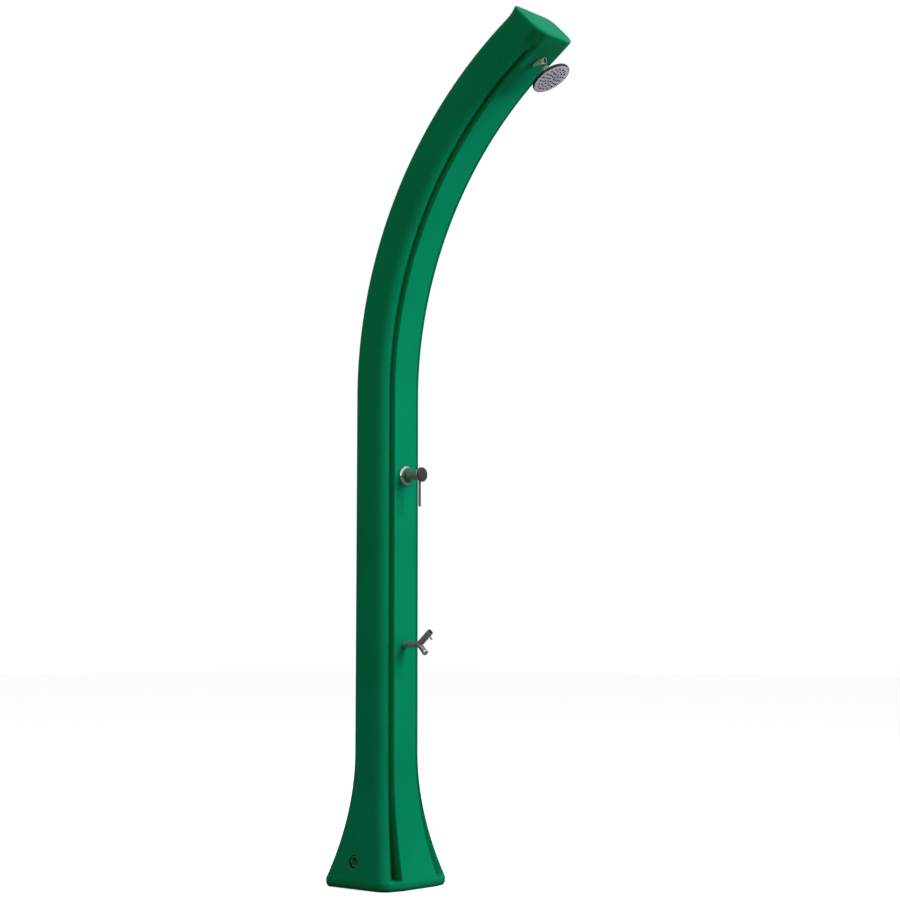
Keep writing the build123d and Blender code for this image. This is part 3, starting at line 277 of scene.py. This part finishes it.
def add_lathe(bm, origin, direction, profile, segments=96, closed=True):
    """Spins a profile of (distance along direction, radius) in mm about the line through origin (m)."""
    d = Vector(direction).normalized()
    u = Vector((1, 0, 0))
    if abs(d.dot(u)) > 0.9:
        u = Vector((0, 0, 1))
    u = (u - d * u.dot(d)).normalized()
    w = d.cross(u)
    rings = []
    for a, r in profile:
        base = Vector(origin) + d * (a * MM)
        if r < 1e-6:
            rings.append([bm.verts.new(base)])
        else:
            turns = [2 * math.pi * k / segments for k in range(segments)]
            rings.append([bm.verts.new(base + (u * math.cos(t) + w * math.sin(t)) * (r * MM)) for t in turns])
    pairs = list(zip(rings, rings[1:]))
    if closed:
        pairs.append((rings[-1], rings[0]))
    for lower, upper in pairs:
        if len(lower) == 1 and len(upper) == 1:
            continue
        for k in range(segments):
            j = (k + 1) % segments
            if len(lower) == 1:
                bm.faces.new((lower[0], upper[j], upper[k]))
            elif len(upper) == 1:
                bm.faces.new((lower[k], lower[j], upper[0]))
            else:
                bm.faces.new((lower[k], lower[j], upper[j], upper[k]))


def lathe(name, origin, direction, profile, mat, body, node, segments=96, round_to=0.4, closed=True):
    """Turned piece that stands for a CAD node; an open profile starts and ends on the axis."""
    bm = bmesh.new()
    add_lathe(bm, origin, direction, soften(profile, round_to, 4, closed), segments, closed)
    obj = finish_object(name, bm, mat, body)
    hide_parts(node)
    return obj


def cut_round(obj, origin, direction, profile, segments=64):
    """Cuts obj by a turned cutter and keeps the result in obj's mesh."""
    cutter_bm = bmesh.new()
    add_lathe(cutter_bm, origin, direction, profile, segments, False)
    bmesh.ops.recalc_face_normals(cutter_bm, faces=cutter_bm.faces)
    mesh = bpy.data.meshes.new("cutter")
    cutter_bm.to_mesh(mesh)
    cutter_bm.free()
    cutter = bpy.data.objects.new("cutter", mesh)
    bpy.context.scene.collection.objects.link(cutter)
    mod = obj.modifiers.new("cut", "BOOLEAN")
    mod.operation = "DIFFERENCE"
    mod.solver = "EXACT"
    mod.object = cutter
    deps = bpy.context.evaluated_depsgraph_get()
    done = bpy.data.meshes.new_from_object(obj.evaluated_get(deps))
    obj.modifiers.remove(mod)
    old = obj.data
    obj.data = done
    bpy.data.meshes.remove(old)
    bpy.data.objects.remove(cutter)
    bpy.data.meshes.remove(mesh)


# ------------------------------------------------------------------ materials
BLACK, WHITE = (0.0, 0.0, 0.0), (1.0, 1.0, 1.0)


def new_material(name):
    mat = bpy.data.materials.new(name)
    mat.use_nodes = True
    nodes = mat.node_tree.nodes
    links = mat.node_tree.links
    shader = nodes.get("Principled BSDF")
    coords = nodes.new("ShaderNodeTexCoord")
    return mat, nodes, links, shader, coords


def mix_colours(nodes, links, factor, a, b):
    """Colour mix; a and b are sockets or plain colours."""
    node = nodes.new("ShaderNodeMix")
    node.data_type = "RGBA"
    links.new(factor, node.inputs["Factor"])
    for socket, value in (("A", a), ("B", b)):
        if isinstance(value, tuple):
            node.inputs[socket].default_value = (*value, 1.0)
        else:
            links.new(value, node.inputs[socket])
    return node.outputs["Result"]


def product(nodes, links, a, b):
    """Product of a socket with a socket or a plain number."""
    node = nodes.new("ShaderNodeMath")
    node.operation = "MULTIPLY"
    links.new(a, node.inputs[0])
    if isinstance(b, float):
        node.inputs[1].default_value = b
    else:
        links.new(b, node.inputs[1])
    return node.outputs[0]


def part_of(nodes, links, vector, axis):
    """One coordinate of a vector socket."""
    node = nodes.new("ShaderNodeSeparateXYZ")
    links.new(vector, node.inputs["Vector"])
    return node.outputs[axis]


def noise(nodes, links, coords, scale, detail=3.0, rough=0.5, stretch=None):
    tex = nodes.new("ShaderNodeTexNoise")
    tex.inputs["Scale"].default_value = scale
    tex.inputs["Detail"].default_value = detail
    tex.inputs["Roughness"].default_value = rough
    if stretch:
        mapping = nodes.new("ShaderNodeMapping")
        mapping.inputs["Scale"].default_value = stretch
        links.new(coords.outputs["Object"], mapping.inputs["Vector"])
        links.new(mapping.outputs["Vector"], tex.inputs["Vector"])
    else:
        links.new(coords.outputs["Object"], tex.inputs["Vector"])
    return tex


def ramp(nodes, links, source, stops):
    node = nodes.new("ShaderNodeValToRGB")
    while len(node.color_ramp.elements) < len(stops):
        node.color_ramp.elements.new(0.5)
    for element, (pos, colour) in zip(node.color_ramp.elements, stops):
        element.position = pos
        element.color = (*colour, 1.0)
    links.new(source, node.inputs["Fac"])
    return node.outputs["Color"]


def bump(nodes, links, height, strength, distance, previous=None):
    node = nodes.new("ShaderNodeBump")
    node.inputs["Strength"].default_value = strength
    node.inputs["Distance"].default_value = distance
    links.new(height, node.inputs["Height"])
    if previous:
        links.new(previous.outputs["Normal"], node.inputs["Normal"])
    return node


def fade(nodes, links, source, start, end, top=1.0, bottom=0.0):
    """Smooth step of a value from bottom at start to top at end."""
    node = nodes.new("ShaderNodeMapRange")
    node.interpolation_type = "SMOOTHSTEP"
    node.inputs["From Min"].default_value = start
    node.inputs["From Max"].default_value = end
    node.inputs["To Min"].default_value = bottom
    node.inputs["To Max"].default_value = top
    links.new(source, node.inputs["Value"])
    return node.outputs["Result"]


def moulded_plastic(name, dark, light, rough, specular=0.3, grain=0.25, painted_shade=None):
    """Moulded plastic: slow colour drift, fine skin grain, paler worn edges; given a painted shade colour,
    painted shade in the grooves and under the tip.
    """
    mat, nodes, links, shader, coords = new_material(name)
    slow = noise(nodes, links, coords, 5.0, 2.0)
    colour = ramp(nodes, links, slow.outputs["Fac"], [(0.3, dark), (0.7, light)])
    geo = nodes.new("ShaderNodeNewGeometry")
    worn = ramp(nodes, links, geo.outputs["Pointiness"], [(0.50, BLACK), (0.56, WHITE)])
    pale = (min(1.0, light[0] * 1.15 + 0.004), min(1.0, light[1] * 1.12), min(1.0, light[2] * 1.12))
    colour = mix_colours(nodes, links, product(nodes, links, worn, 0.35), colour, pale)
    if painted_shade:
        # shade gathered in the grooves
        shade = nodes.new("ShaderNodeAmbientOcclusion")
        shade.samples = 8
        shade.inputs["Distance"].default_value = 0.045
        depth = ramp(nodes, links, shade.outputs["AO"], [(0.30, WHITE), (0.80, BLACK)])
        colour = mix_colours(nodes, links, depth, colour, painted_shade)
        # painted shade: the underside darkens towards the tip of the column
        reach = part_of(nodes, links, coords.outputs["Object"], "Y")
        facing = part_of(nodes, links, geo.outputs["Normal"], "Z")
        near_tip = fade(nodes, links, reach, -0.485, -0.535, 0.62)
        looks_down = fade(nodes, links, facing, -0.30, -0.60)
        colour = mix_colours(nodes, links, product(nodes, links, near_tip, looks_down), colour, painted_shade)
    links.new(colour, shader.inputs["Base Color"])
    streak = noise(nodes, links, coords, 30.0, 4.0)
    smooth_and_rough = [(0.3, (rough[0],) * 3), (0.7, (rough[1],) * 3)]
    links.new(ramp(nodes, links, streak.outputs["Fac"], smooth_and_rough), shader.inputs["Roughness"])
    skin = noise(nodes, links, coords, 950.0, 3.0, 0.6)
    first = bump(nodes, links, skin.outputs["Fac"], grain, 0.0004)
    wave = noise(nodes, links, coords, 14.0, 1.0)
    second = bump(nodes, links, wave.outputs["Fac"], 0.12, 0.002, first)
    links.new(second.outputs["Normal"], shader.inputs["Normal"])
    shader.inputs["Specular IOR Level"].default_value = specular
    return mat


def plated_metal(name, tint, rough, metallic=1.0, stretch=None, scale=120.0):
    """Plated or machined metal: faint smears in the polish and a very fine ripple."""
    mat, nodes, links, shader, coords = new_material(name)
    smear = noise(nodes, links, coords, scale, 4.0, 0.6, stretch)
    smooth_and_rough = [(0.35, (rough[0],) * 3), (0.7, (rough[1],) * 3)]
    links.new(ramp(nodes, links, smear.outputs["Fac"], smooth_and_rough), shader.inputs["Roughness"])
    drift = noise(nodes, links, coords, 40.0, 2.0)
    low = tuple(c * 0.93 for c in tint)
    tone = ramp(nodes, links, drift.outputs["Fac"], [(0.3, low), (0.7, tint)])
    links.new(tone, shader.inputs["Base Color"])
    shader.inputs["Metallic"].default_value = metallic
    ripple = noise(nodes, links, coords, 260.0, 2.0, 0.5, stretch)
    node = bump(nodes, links, ripple.outputs["Fac"], 0.05, 0.00008)
    links.new(node.outputs["Normal"], shader.inputs["Normal"])
    return mat


# the last colour is the painted shade for the grooves and the underside near the tip
GREEN = moulded_plastic("green_shell", (0.0010, 0.265, 0.125), (0.0014, 0.300, 0.146), (0.50, 0.60),
                        0.05, 0.22, (0.008, 0.105, 0.032))
CHROME = plated_metal("chrome", (0.80, 0.81, 0.84), (0.05, 0.13))
BRIGHT_CHROME = plated_metal("bright_chrome", (0.88, 0.88, 0.90), (0.10, 0.20), 0.6)
SATIN_CHROME = plated_metal("satin_chrome", (0.42, 0.385, 0.43), (0.24, 0.34), 0.55)
DARK_CHROME = plated_metal("dark_chrome", (0.17, 0.18, 0.185), (0.24, 0.34), 0.55)
BRASS = plated_metal("brass", (0.62, 0.46, 0.20), (0.28, 0.42), 1.0, None, 200.0)
STEEL = plated_metal("steel", (0.55, 0.56, 0.58), (0.3, 0.45), 1.0, (1, 1, 12), 90.0)
BLACK_GLOSS = moulded_plastic("black_gloss", (0.012, 0.012, 0.014), (0.02, 0.02, 0.024), (0.12, 0.2),
                              0.5, 0.03)
MATT_BLACK = moulded_plastic("matt_black", (0.008, 0.008, 0.010), (0.013, 0.013, 0.016), (0.5, 0.6),
                             0.15, 0.05)
DARK_FACE = moulded_plastic("dark_face", (0.045, 0.042, 0.048), (0.06, 0.056, 0.062), (0.2, 0.32), 0.5, 0.05)
GREY_PLATE = moulded_plastic("grey_plate", (0.66, 0.67, 0.74), (0.76, 0.77, 0.84), (0.25, 0.38), 0.5, 0.1)
RUBBER = moulded_plastic("rubber", (0.010, 0.010, 0.014), (0.018, 0.018, 0.022), (0.5, 0.7), 0.3, 0.4)
WHITE_PLASTIC = moulded_plastic("white_plastic", (0.66, 0.66, 0.64), (0.74, 0.74, 0.72), (0.4, 0.5), 0.4, 0.1)
INSERT = moulded_plastic("insert_plastic", (0.060, 0.330, 0.160), (0.070, 0.380, 0.190), (0.4, 0.55),
                         0.3, 0.15)
TUBE = moulded_plastic("tube_plastic", (0.55, 0.58, 0.62), (0.62, 0.65, 0.68), (0.3, 0.4), 0.4, 0.1)

BY_SLOT = {"shell_plastic": GREEN, "chrome": CHROME, "dark_plastic": BLACK_GLOSS, "grey_plastic": GREY_PLATE,
           "black_rubber": RUBBER, "brass": BRASS, "steel": STEEL, "white_plastic": WHITE_PLASTIC,
           "tube_plastic": TUBE, "insert_plastic": INSERT}
slots = {p["node"]: p["material_slot"] for p in frame["record"]["subparts"]}
for node, obj in frame["nodes"].items():
    for ms in obj.material_slots:
        ms.material = BY_SLOT[slots[node]]
for node in ("mixer_body", "foot_tap_body"):
    for ms in frame["nodes"][node].material_slots:
        ms.material = SATIN_CHROME


# ------------------------------------------------------------------ reference lines taken from the frame
joints = {j["name"]: j for j in frame["record"]["behaviour"]["joints"]}


def box_mid(node):
    low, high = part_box(node)
    return (Vector(low) + Vector(high)) / 2


FORWARD = Vector((0, -1, 0))
BACKWARD = Vector((0, 1, 0))
BALL_A = 25.0                       # from the head's origin to its ball centre
ARM_REACH = 25.0                    # arm barrel beyond the panel
CAP_A, CAP_FACE_A = 23.2, 25.2      # seat and outer face of the arm's end cap
NECK_A = 15.0                       # neck's place on the arm
mixer_pivot = Vector(joints["mixer_lift"]["pos_m"])
mixer_root = Vector((0, 0, mixer_pivot.z))
tap_origin = Vector(joints["foot_tap_turn"]["pos_m"])
tap_dir = Vector(joints["foot_tap_turn"]["axis"]).normalized()
head_dir = Vector(joints["head_spin"]["axis"]).normalized()
ball_centre = Vector(joints["head_spin"]["pos_m"])
head_origin = ball_centre - head_dir * (BALL_A * MM)
arm_root = Vector((0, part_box("arm_cap")[0][1] + CAP_FACE_A * MM, box_mid("arm_cap").z))
neck_origin = arm_root + FORWARD * (NECK_A * MM)
neck_dir = (ball_centre - neck_origin).normalized()


# ------------------------------------------------------------------ column shell
PORT_X = -98.0                      # bottom of the inlet recess, in the foot's left face
SCREW_X, SCREW_SEAT_Y = 55.0, 106.0  # the two screws in the foot's rear face
shell = finish_object("shell_skin", column_mesh(), GREEN, "column", 38.0)
port = box_mid("inlet_washer")
port.x = PORT_X * MM
recess = [(0, 0), (0, 15.0), (0.6, 15.5), (6.5, 15.5), (9.2, 16.0), (11.5, 18.5), (25, 32), (25, 0)]
cut_round(shell, port, (-1, 0, 0), recess, 96)
cut_round(shell, port, (-1, 0, 0), [(-40, 0), (-40, 12.1), (5, 12.1), (5, 0)])
screw_seat = [(0, 0), (0, 7.2), (0.3, 7.5), (3.0, 7.5), (5.5, 9.5), (12, 14), (12, 0)]
for x in (-SCREW_X, SCREW_X):
    seat = Vector((x * MM, SCREW_SEAT_Y * MM, box_mid("base_screws").z))
    cut_round(shell, seat, BACKWARD, screw_seat)
drain_seat = [(0, 0), (0, 13.2), (0.3, 13.5), (3.0, 13.5), (6.0, 16.0), (14, 22), (14, 0)]
cut_round(shell, Vector((0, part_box("drain_seal")[0][1], box_mid("drain_seal").z)), BACKWARD, drain_seat)
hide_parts("column_shell")
shell.data.materials.clear()
shell.data.materials.append(GREEN)


# ------------------------------------------------------------------ mixer
def rose_painted_reflection(centre):
    """Chrome dish: a bright rim round an inner face painted the green of the panel, a painted reflection."""
    mat = plated_metal("rose_chrome_painted_reflection", (0.86, 0.87, 0.88), (0.06, 0.14))
    nodes, links = mat.node_tree.nodes, mat.node_tree.links
    shader = nodes["Principled BSDF"]
    rim = shader.inputs["Base Color"].links[0].from_socket
    coords = nodes.new("ShaderNodeTexCoord")
    apart = nodes.new("ShaderNodeVectorMath")
    apart.operation = "DISTANCE"
    links.new(coords.outputs["Object"], apart.inputs[0])
    apart.inputs[1].default_value = centre
    # painted reflection: inside the rim the dish is painted the panel's green and made less metallic
    outward = fade(nodes, links, apart.outputs["Value"], 19.0 * MM, 23.5 * MM)
    tone = mix_colours(nodes, links, outward, (0.012, 0.20, 0.11), rim)
    links.new(tone, shader.inputs["Base Color"])
    metal = fade(nodes, links, apart.outputs["Value"], 18.0 * MM, 23.0 * MM, 1.0, 0.25)
    links.new(metal, shader.inputs["Metallic"])
    return mat


rose_profile = [(59.0, 24.0), (59.0, 25.5), (61.4, 25.5), (62.6, 25.2), (64.2, 24.6), (65.8, 23.4),
                (67.2, 21.8), (68.4, 19.8), (69.3, 17.6), (70.0, 15.6), (70.8, 14.6), (71.0, 13.6),
                (70.6, 12.6), (69.0, 12.6), (67.4, 17.4), (65.5, 21.2), (63.2, 23.3), (61.0, 24.0)]
ROSE_A = 64.0
ROSE = rose_painted_reflection(mixer_root + FORWARD * (ROSE_A * MM))
lathe("mixer_rose_skin", mixer_root, FORWARD, rose_profile, ROSE, "column", "mixer_rose", 128, 0.5)

PIVOT_A, CUP_R, CUP_MOUTH, SCREW_R = 90.0, 11.3, 92.5, 3.05
DISC_A, HUB_R = 111.0, 12.5
cup_end = PIVOT_A + math.sqrt(CUP_R ** 2 - SCREW_R ** 2)
cup = []
for i in range(9):
    a = CUP_MOUTH + (cup_end - CUP_MOUTH) * i / 8.0
    cup.append((a, math.sqrt(max(0.0, CUP_R ** 2 - (a - PIVOT_A) ** 2))))
hub_profile = cup + [(108.0, SCREW_R), (108.0, 0.0), (113.2, 0.0), (113.2, 18.4), (112.8, 18.8),
                     (111.5, 18.8), (DISC_A, 18.3), (DISC_A, HUB_R), (CUP_MOUTH, HUB_R)]
handle = lathe("mixer_handle_skin", mixer_root, FORWARD, hub_profile, SATIN_CHROME, "mixer_grip",
               "mixer_handle", 128, 0.35)
# the rim of the end disc is brighter than the hub
handle.data.materials.append(CHROME)
for poly in handle.data.polygons:
    spot = poly.center - mixer_root
    if -spot.y > (DISC_A - 0.1) * MM and math.hypot(spot.x, spot.z) > (HUB_R + 0.1) * MM:
        poly.material_index = 1
face_profile = [(113.3, 0.0), (113.3, 18.1), (113.7, 18.5), (117.0, 18.5), (118.2, 17.8), (118.8, 15.8),
                (119.0, 12.0), (119.1, 0.0)]
lathe("handle_face_skin", mixer_root, FORWARD, face_profile, DARK_FACE, "mixer_grip",
      "handle_face", 128, 0.35, False)

lever_low, lever_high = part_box("mixer_lever")
lever_top = box_mid("mixer_lever")
lever_top.z = lever_high[2]
lever_len = (lever_high[2] - lever_low[2]) / MM
lever_profile = [(0, 0), (0, 3.2), (5.6, 3.2), (6.2, 2.8), (7.4, 2.8), (8.0, 3.2), (lever_len - 1.2, 3.2),
                 (lever_len - 0.3, 2.6), (lever_len, 1.6), (lever_len, 0)]
lathe("mixer_lever_skin", lever_top, (0, 0, -1), lever_profile, DARK_CHROME, "mixer_grip",
      "mixer_lever", 48, 0.35, False)

# ------------------------------------------------------------------ foot tap
handle_profile = [(13.1, 6.1), (21, 6.1), (21, 3.0), (34, 3.0), (34, 0), (46.6, 0), (46.6, 6.6), (49.4, 6.6),
                  (50.0, 7.2), (49.4, 8.0), (45.4, 8.0), (45.0, 7.5), (44.2, 7.5), (43.8, 8.0), (13.1, 8.0)]
lathe("foot_tap_handle_skin", tap_origin, tap_dir, handle_profile, SATIN_CHROME, "tap_grip",
      "foot_tap_handle", 96, 0.3)
cap_profile = [(46.7, 0), (46.7, 6.5), (48.6, 6.5), (49.0, 5.9), (49.3, 3.0), (49.4, 0)]
lathe("foot_tap_cap_skin", tap_origin, tap_dir, cap_profile, MATT_BLACK, "tap_grip",
      "foot_tap_cap", 64, 0.3, False)
pin_axis = Vector((0, -tap_dir.z, tap_dir.y)).normalized()
pin_profile = [(4.0, 0), (4.0, 2.1), (9.2, 2.1), (9.8, 1.7), (10.4, 1.7), (11.0, 2.1), (18.4, 2.1),
               (19.0, 1.4), (19.0, 0)]
PIN_A = 40.5
pin_origin = tap_origin + tap_dir * (PIN_A * MM)
lathe("foot_tap_pin_skin", pin_origin, pin_axis, pin_profile, SATIN_CHROME, "tap_grip",
      "foot_tap_pin", 40, 0.3, False)

# ------------------------------------------------------------------ shower arm and head
barrel = [(-44, 4.0), (-44, 6.5), (-24, 6.5), (-24, 7.5), (1.2, 7.5), (21.0, 7.5), (21.6, 7.0), (22.2, 7.0),
          (22.8, 7.5), (ARM_REACH - 0.6, 7.5), (ARM_REACH, 6.9), (ARM_REACH, 6.2), (CAP_A - 0.1, 6.2),
          (CAP_A - 0.1, 0.0), (20.0, 0.0), (20.0, 4.0)]
neck = [(5.0, 2.6), (5.0, 5.4), (7.2, 5.2), (9.2, 4.4), (11.0, 5.0), (11.0, 2.6)]
bm = bmesh.new()
add_lathe(bm, arm_root, FORWARD, soften(barrel, 0.3))
add_lathe(bm, neck_origin, neck_dir, soften(neck, 0.3), 64)
arm = finish_object("shower_arm_skin", bm, BRIGHT_CHROME, "column")
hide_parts("shower_arm")
end_cap = [(CAP_A, 0), (CAP_A, 6.1), (24.8, 6.1), (25.1, 5.4), (CAP_FACE_A, 0)]
lathe("arm_cap_skin", arm_root, FORWARD, end_cap, BLACK_GLOSS, "column", "arm_cap",
      64, 0.3, False)

SOCKET_R, MOUTH_A = 8.08, 20.5
lip = []
for i in range(7):
    a = MOUTH_A + (BALL_A - MOUTH_A) * i / 6.0
    lip.append((a, math.sqrt(SOCKET_R ** 2 - (a - BALL_A) ** 2)))
nut_profile = lip + [(25.9, SOCKET_R), (25.9, 9.25), (37.0, 9.25), (37.0, 13.2), (34.5, 13.4), (33.8, 12.7),
                     (29.0, 12.0), (24.0, 10.7), (21.4, 9.5), (MOUTH_A, 8.8)]
lathe("swivel_nut_skin", head_origin, head_dir, nut_profile, BRIGHT_CHROME, "head",
      "swivel_nut", 96, 0.35)
shell_profile = [(34.1, 4.7), (34.1, 9.2), (37.0, 9.2), (37.0, 15.0), (39.6, 15.2), (41.0, 17.0),
                 (42.0, 24.0), (43.5, 34.0), (46.0, 44.0), (48.0, 48.4), (50.0, 49.9), (51.2, 50.0),
                 (55.0, 50.0), (56.0, 49.2), (56.0, 48.0), (53.0, 48.0), (53.0, 46.0), (50.0, 45.5),
                 (46.0, 34.0), (43.5, 19.0), (42.0, 4.7)]
lathe("head_shell_skin", head_origin, head_dir, shell_profile, BLACK_GLOSS, "head",
      "head_shell", 160, 0.6)
plate_profile = [(53.8, 0.0), (53.8, 47.8), (55.2, 47.8), (55.9, 47.2), (56.1, 45.4), (55.9, 43.6),
                 (56.1, 42.0), (56.3, 30.0), (56.4, 0.0)]
lathe("head_plate_skin", head_origin, head_dir, plate_profile, GREY_PLATE, "head",
      "head_plate", 160, 0.4, False)
NOZZLE_RINGS = [(9.0, 6), (18.0, 10), (27.0, 14), (36.0, 18)]    # radius and number of nozzles
nozzle = soften([(54.0, 0.0), (54.0, 1.9), (56.2, 1.9), (56.3, 2.7), (56.9, 2.5), (57.8, 1.3), (57.8, 0.55),
                 (56.4, 0.5), (56.4, 0.0)], 0.15, 2, False)
u = (Vector((1, 0, 0)) - head_dir * head_dir.x).normalized()
w = head_dir.cross(u)
bm = bmesh.new()
for ring, count in NOZZLE_RINGS:
    for k in range(count):
        turn = 2 * math.pi * k / count
        spot = head_origin + (u * math.cos(turn) + w * math.sin(turn)) * (ring * MM)
        add_lathe(bm, spot, head_dir, nozzle, 20, False)
jets = finish_object("nozzles_skin", bm, RUBBER, "head")
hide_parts("nozzles")

# ------------------------------------------------------------------ smooth shading on the CAD nodes that stay
for node, obj in frame["nodes"].items():
    if obj.hide_render:
        continue
    soft = obj.modifiers.new("weighted", "WEIGHTED_NORMAL")
    soft.keep_sharp = True

# ------------------------------------------------------------------ floor, light and camera
FLOOR_SIZE, FLOOR_CELLS, FLOOR_DROP = 60.0, 24, 0.0015


def studio_floor():
    bm = bmesh.new()
    steps = [(i / FLOOR_CELLS - 0.5) * FLOOR_SIZE for i in range(FLOOR_CELLS + 1)]
    grid = [[bm.verts.new((x, y, -FLOOR_DROP)) for x in steps] for y in steps]
    for near, far in zip(grid, grid[1:]):
        for i in range(FLOOR_CELLS):
            bm.faces.new((near[i], near[i + 1], far[i + 1], far[i]))
    mesh = bpy.data.meshes.new("floor")
    bm.to_mesh(mesh)
    bm.free()
    obj = bpy.data.objects.new("floor", mesh)
    bpy.context.scene.collection.objects.link(obj)
    mat, nodes, links, shader, coords = new_material("pale_floor")
    grain = noise(nodes, links, coords, 3.0, 2.0)
    tone = ramp(nodes, links, grain.outputs["Fac"], [(0.3, (0.90, 0.90, 0.90)), (0.7, (0.93, 0.93, 0.93))])
    links.new(tone, shader.inputs["Base Color"])
    shader.inputs["Roughness"].default_value = 0.9
    shader.inputs["Specular IOR Level"].default_value = 0.05
    shader.inputs["Emission Color"].default_value = (1, 1, 1, 1)
    shader.inputs["Emission Strength"].default_value = 0.80
    # seen directly it is pale; what it throws back at the column is a darker studio floor
    path = nodes.new("ShaderNodeLightPath")
    dull = nodes.new("ShaderNodeBsdfDiffuse")
    dull.inputs["Color"].default_value = (0.24, 0.23, 0.24, 1.0)
    blend = nodes.new("ShaderNodeMixShader")
    links.new(path.outputs["Is Camera Ray"], blend.inputs[0])
    links.new(dull.outputs["BSDF"], blend.inputs[1])
    links.new(shader.outputs["BSDF"], blend.inputs[2])
    links.new(blend.outputs["Shader"], nodes["Material Output"].inputs["Surface"])
    mesh.materials.append(mat)


studio_floor()


def area_light(name, location, target, size, power, colour=(1, 1, 1), in_reflections=True):
    data = bpy.data.lights.new(name, "AREA")
    data.shape = "RECTANGLE"
    data.size, data.size_y = size
    data.energy = power
    data.color = colour
    obj = bpy.data.objects.new(name, data)
    obj.location = location
    obj.rotation_euler = (Vector(target) - Vector(location)).to_track_quat("-Z", "Y").to_euler()
    obj.visible_glossy = in_reflections
    bpy.context.scene.collection.objects.link(obj)


area_light("key", (1.6, -4.2, 2.7), (0, -0.1, 1.0), (2.2, 2.6), 182.0, in_reflections=False)
area_light("top", (0.2, -1.2, 4.6), (0, -0.3, 1.8), (2.0, 2.0), 6.0, in_reflections=False)
area_light("rear_fill", (1.8, 4.2, 2.4), (0, 0, 1.0), (2.4, 2.4), 75.0, in_reflections=False)
area_light("left_fill", (-4.2, -1.6, 2.2), (0, 0, 1.0), (1.6, 2.6), 37.0, (1.0, 1.0, 0.62))

world = bpy.data.worlds.new("studio")
bpy.context.scene.world = world
world.use_nodes = True
wn, wl = world.node_tree.nodes, world.node_tree.links
direction = wn.new("ShaderNodeTexCoord").outputs["Generated"]
# height of the direction looked in, from straight down (0) to straight up (1)
height = wn.new("ShaderNodeMath")
height.operation = "MULTIPLY_ADD"
wl.new(part_of(wn, wl, direction, "Z"), height.inputs[0])
height.inputs[1].default_value = 0.5
height.inputs[2].default_value = 0.5


def sky(stops, tint):
    """Sky colour from (height, brightness) stops."""
    return ramp(wn, wl, height.outputs[0], [(pos, tuple(level * c for c in tint)) for pos, level in stops])


# soft light on everything; the polished metal sees a darker room with a bright ceiling; the camera sees white
soft_sky = sky([(0.0, 0.08), (0.47, 0.07), (0.56, 0.06), (0.72, 0.16), (1.0, 0.22)], (1.0, 1.0, 1.0))
mirror_sky = sky([(0.0, 0.05), (0.47, 0.12), (0.58, 0.20), (0.72, 0.34), (0.84, 0.80), (1.0, 0.95)],
                 (1.0, 0.92, 1.0))
path = wn.new("ShaderNodeLightPath")
lit = mix_colours(wn, wl, path.outputs["Is Glossy Ray"], soft_sky, mirror_sky)
seen = mix_colours(wn, wl, path.outputs["Is Camera Ray"], lit, WHITE)
wl.new(seen, wn["Background"].inputs["Color"])
wn["Background"].inputs["Strength"].default_value = 1.0

# camera: plan bearing, distance, height, pitch and yaw of the view
BEARING, DISTANCE, HEIGHT = math.radians(46.88), 4.6308, 0.6010
PITCH, YAW, LENS = math.radians(6.24), math.radians(1.96), 71.70
cam_data = bpy.data.cameras.new("camera")
cam_data.lens = LENS
cam_data.sensor_width = 36.0    # mm, as the lens
cam = bpy.data.objects.new("camera", cam_data)
cam.location = (-DISTANCE * math.sin(BEARING), -DISTANCE * math.cos(BEARING), HEIGHT)
look = BEARING + YAW
aim = Vector((math.sin(look) * math.cos(PITCH), math.cos(look) * math.cos(PITCH), math.sin(PITCH)))
cam.rotation_euler = aim.to_track_quat("-Z", "Y").to_euler()
bpy.context.scene.collection.objects.link(cam)
bpy.context.scene.camera = cam
bpy.context.scene.view_settings.view_transform = "Standard"
bpy.context.scene.view_settings.look = "None"
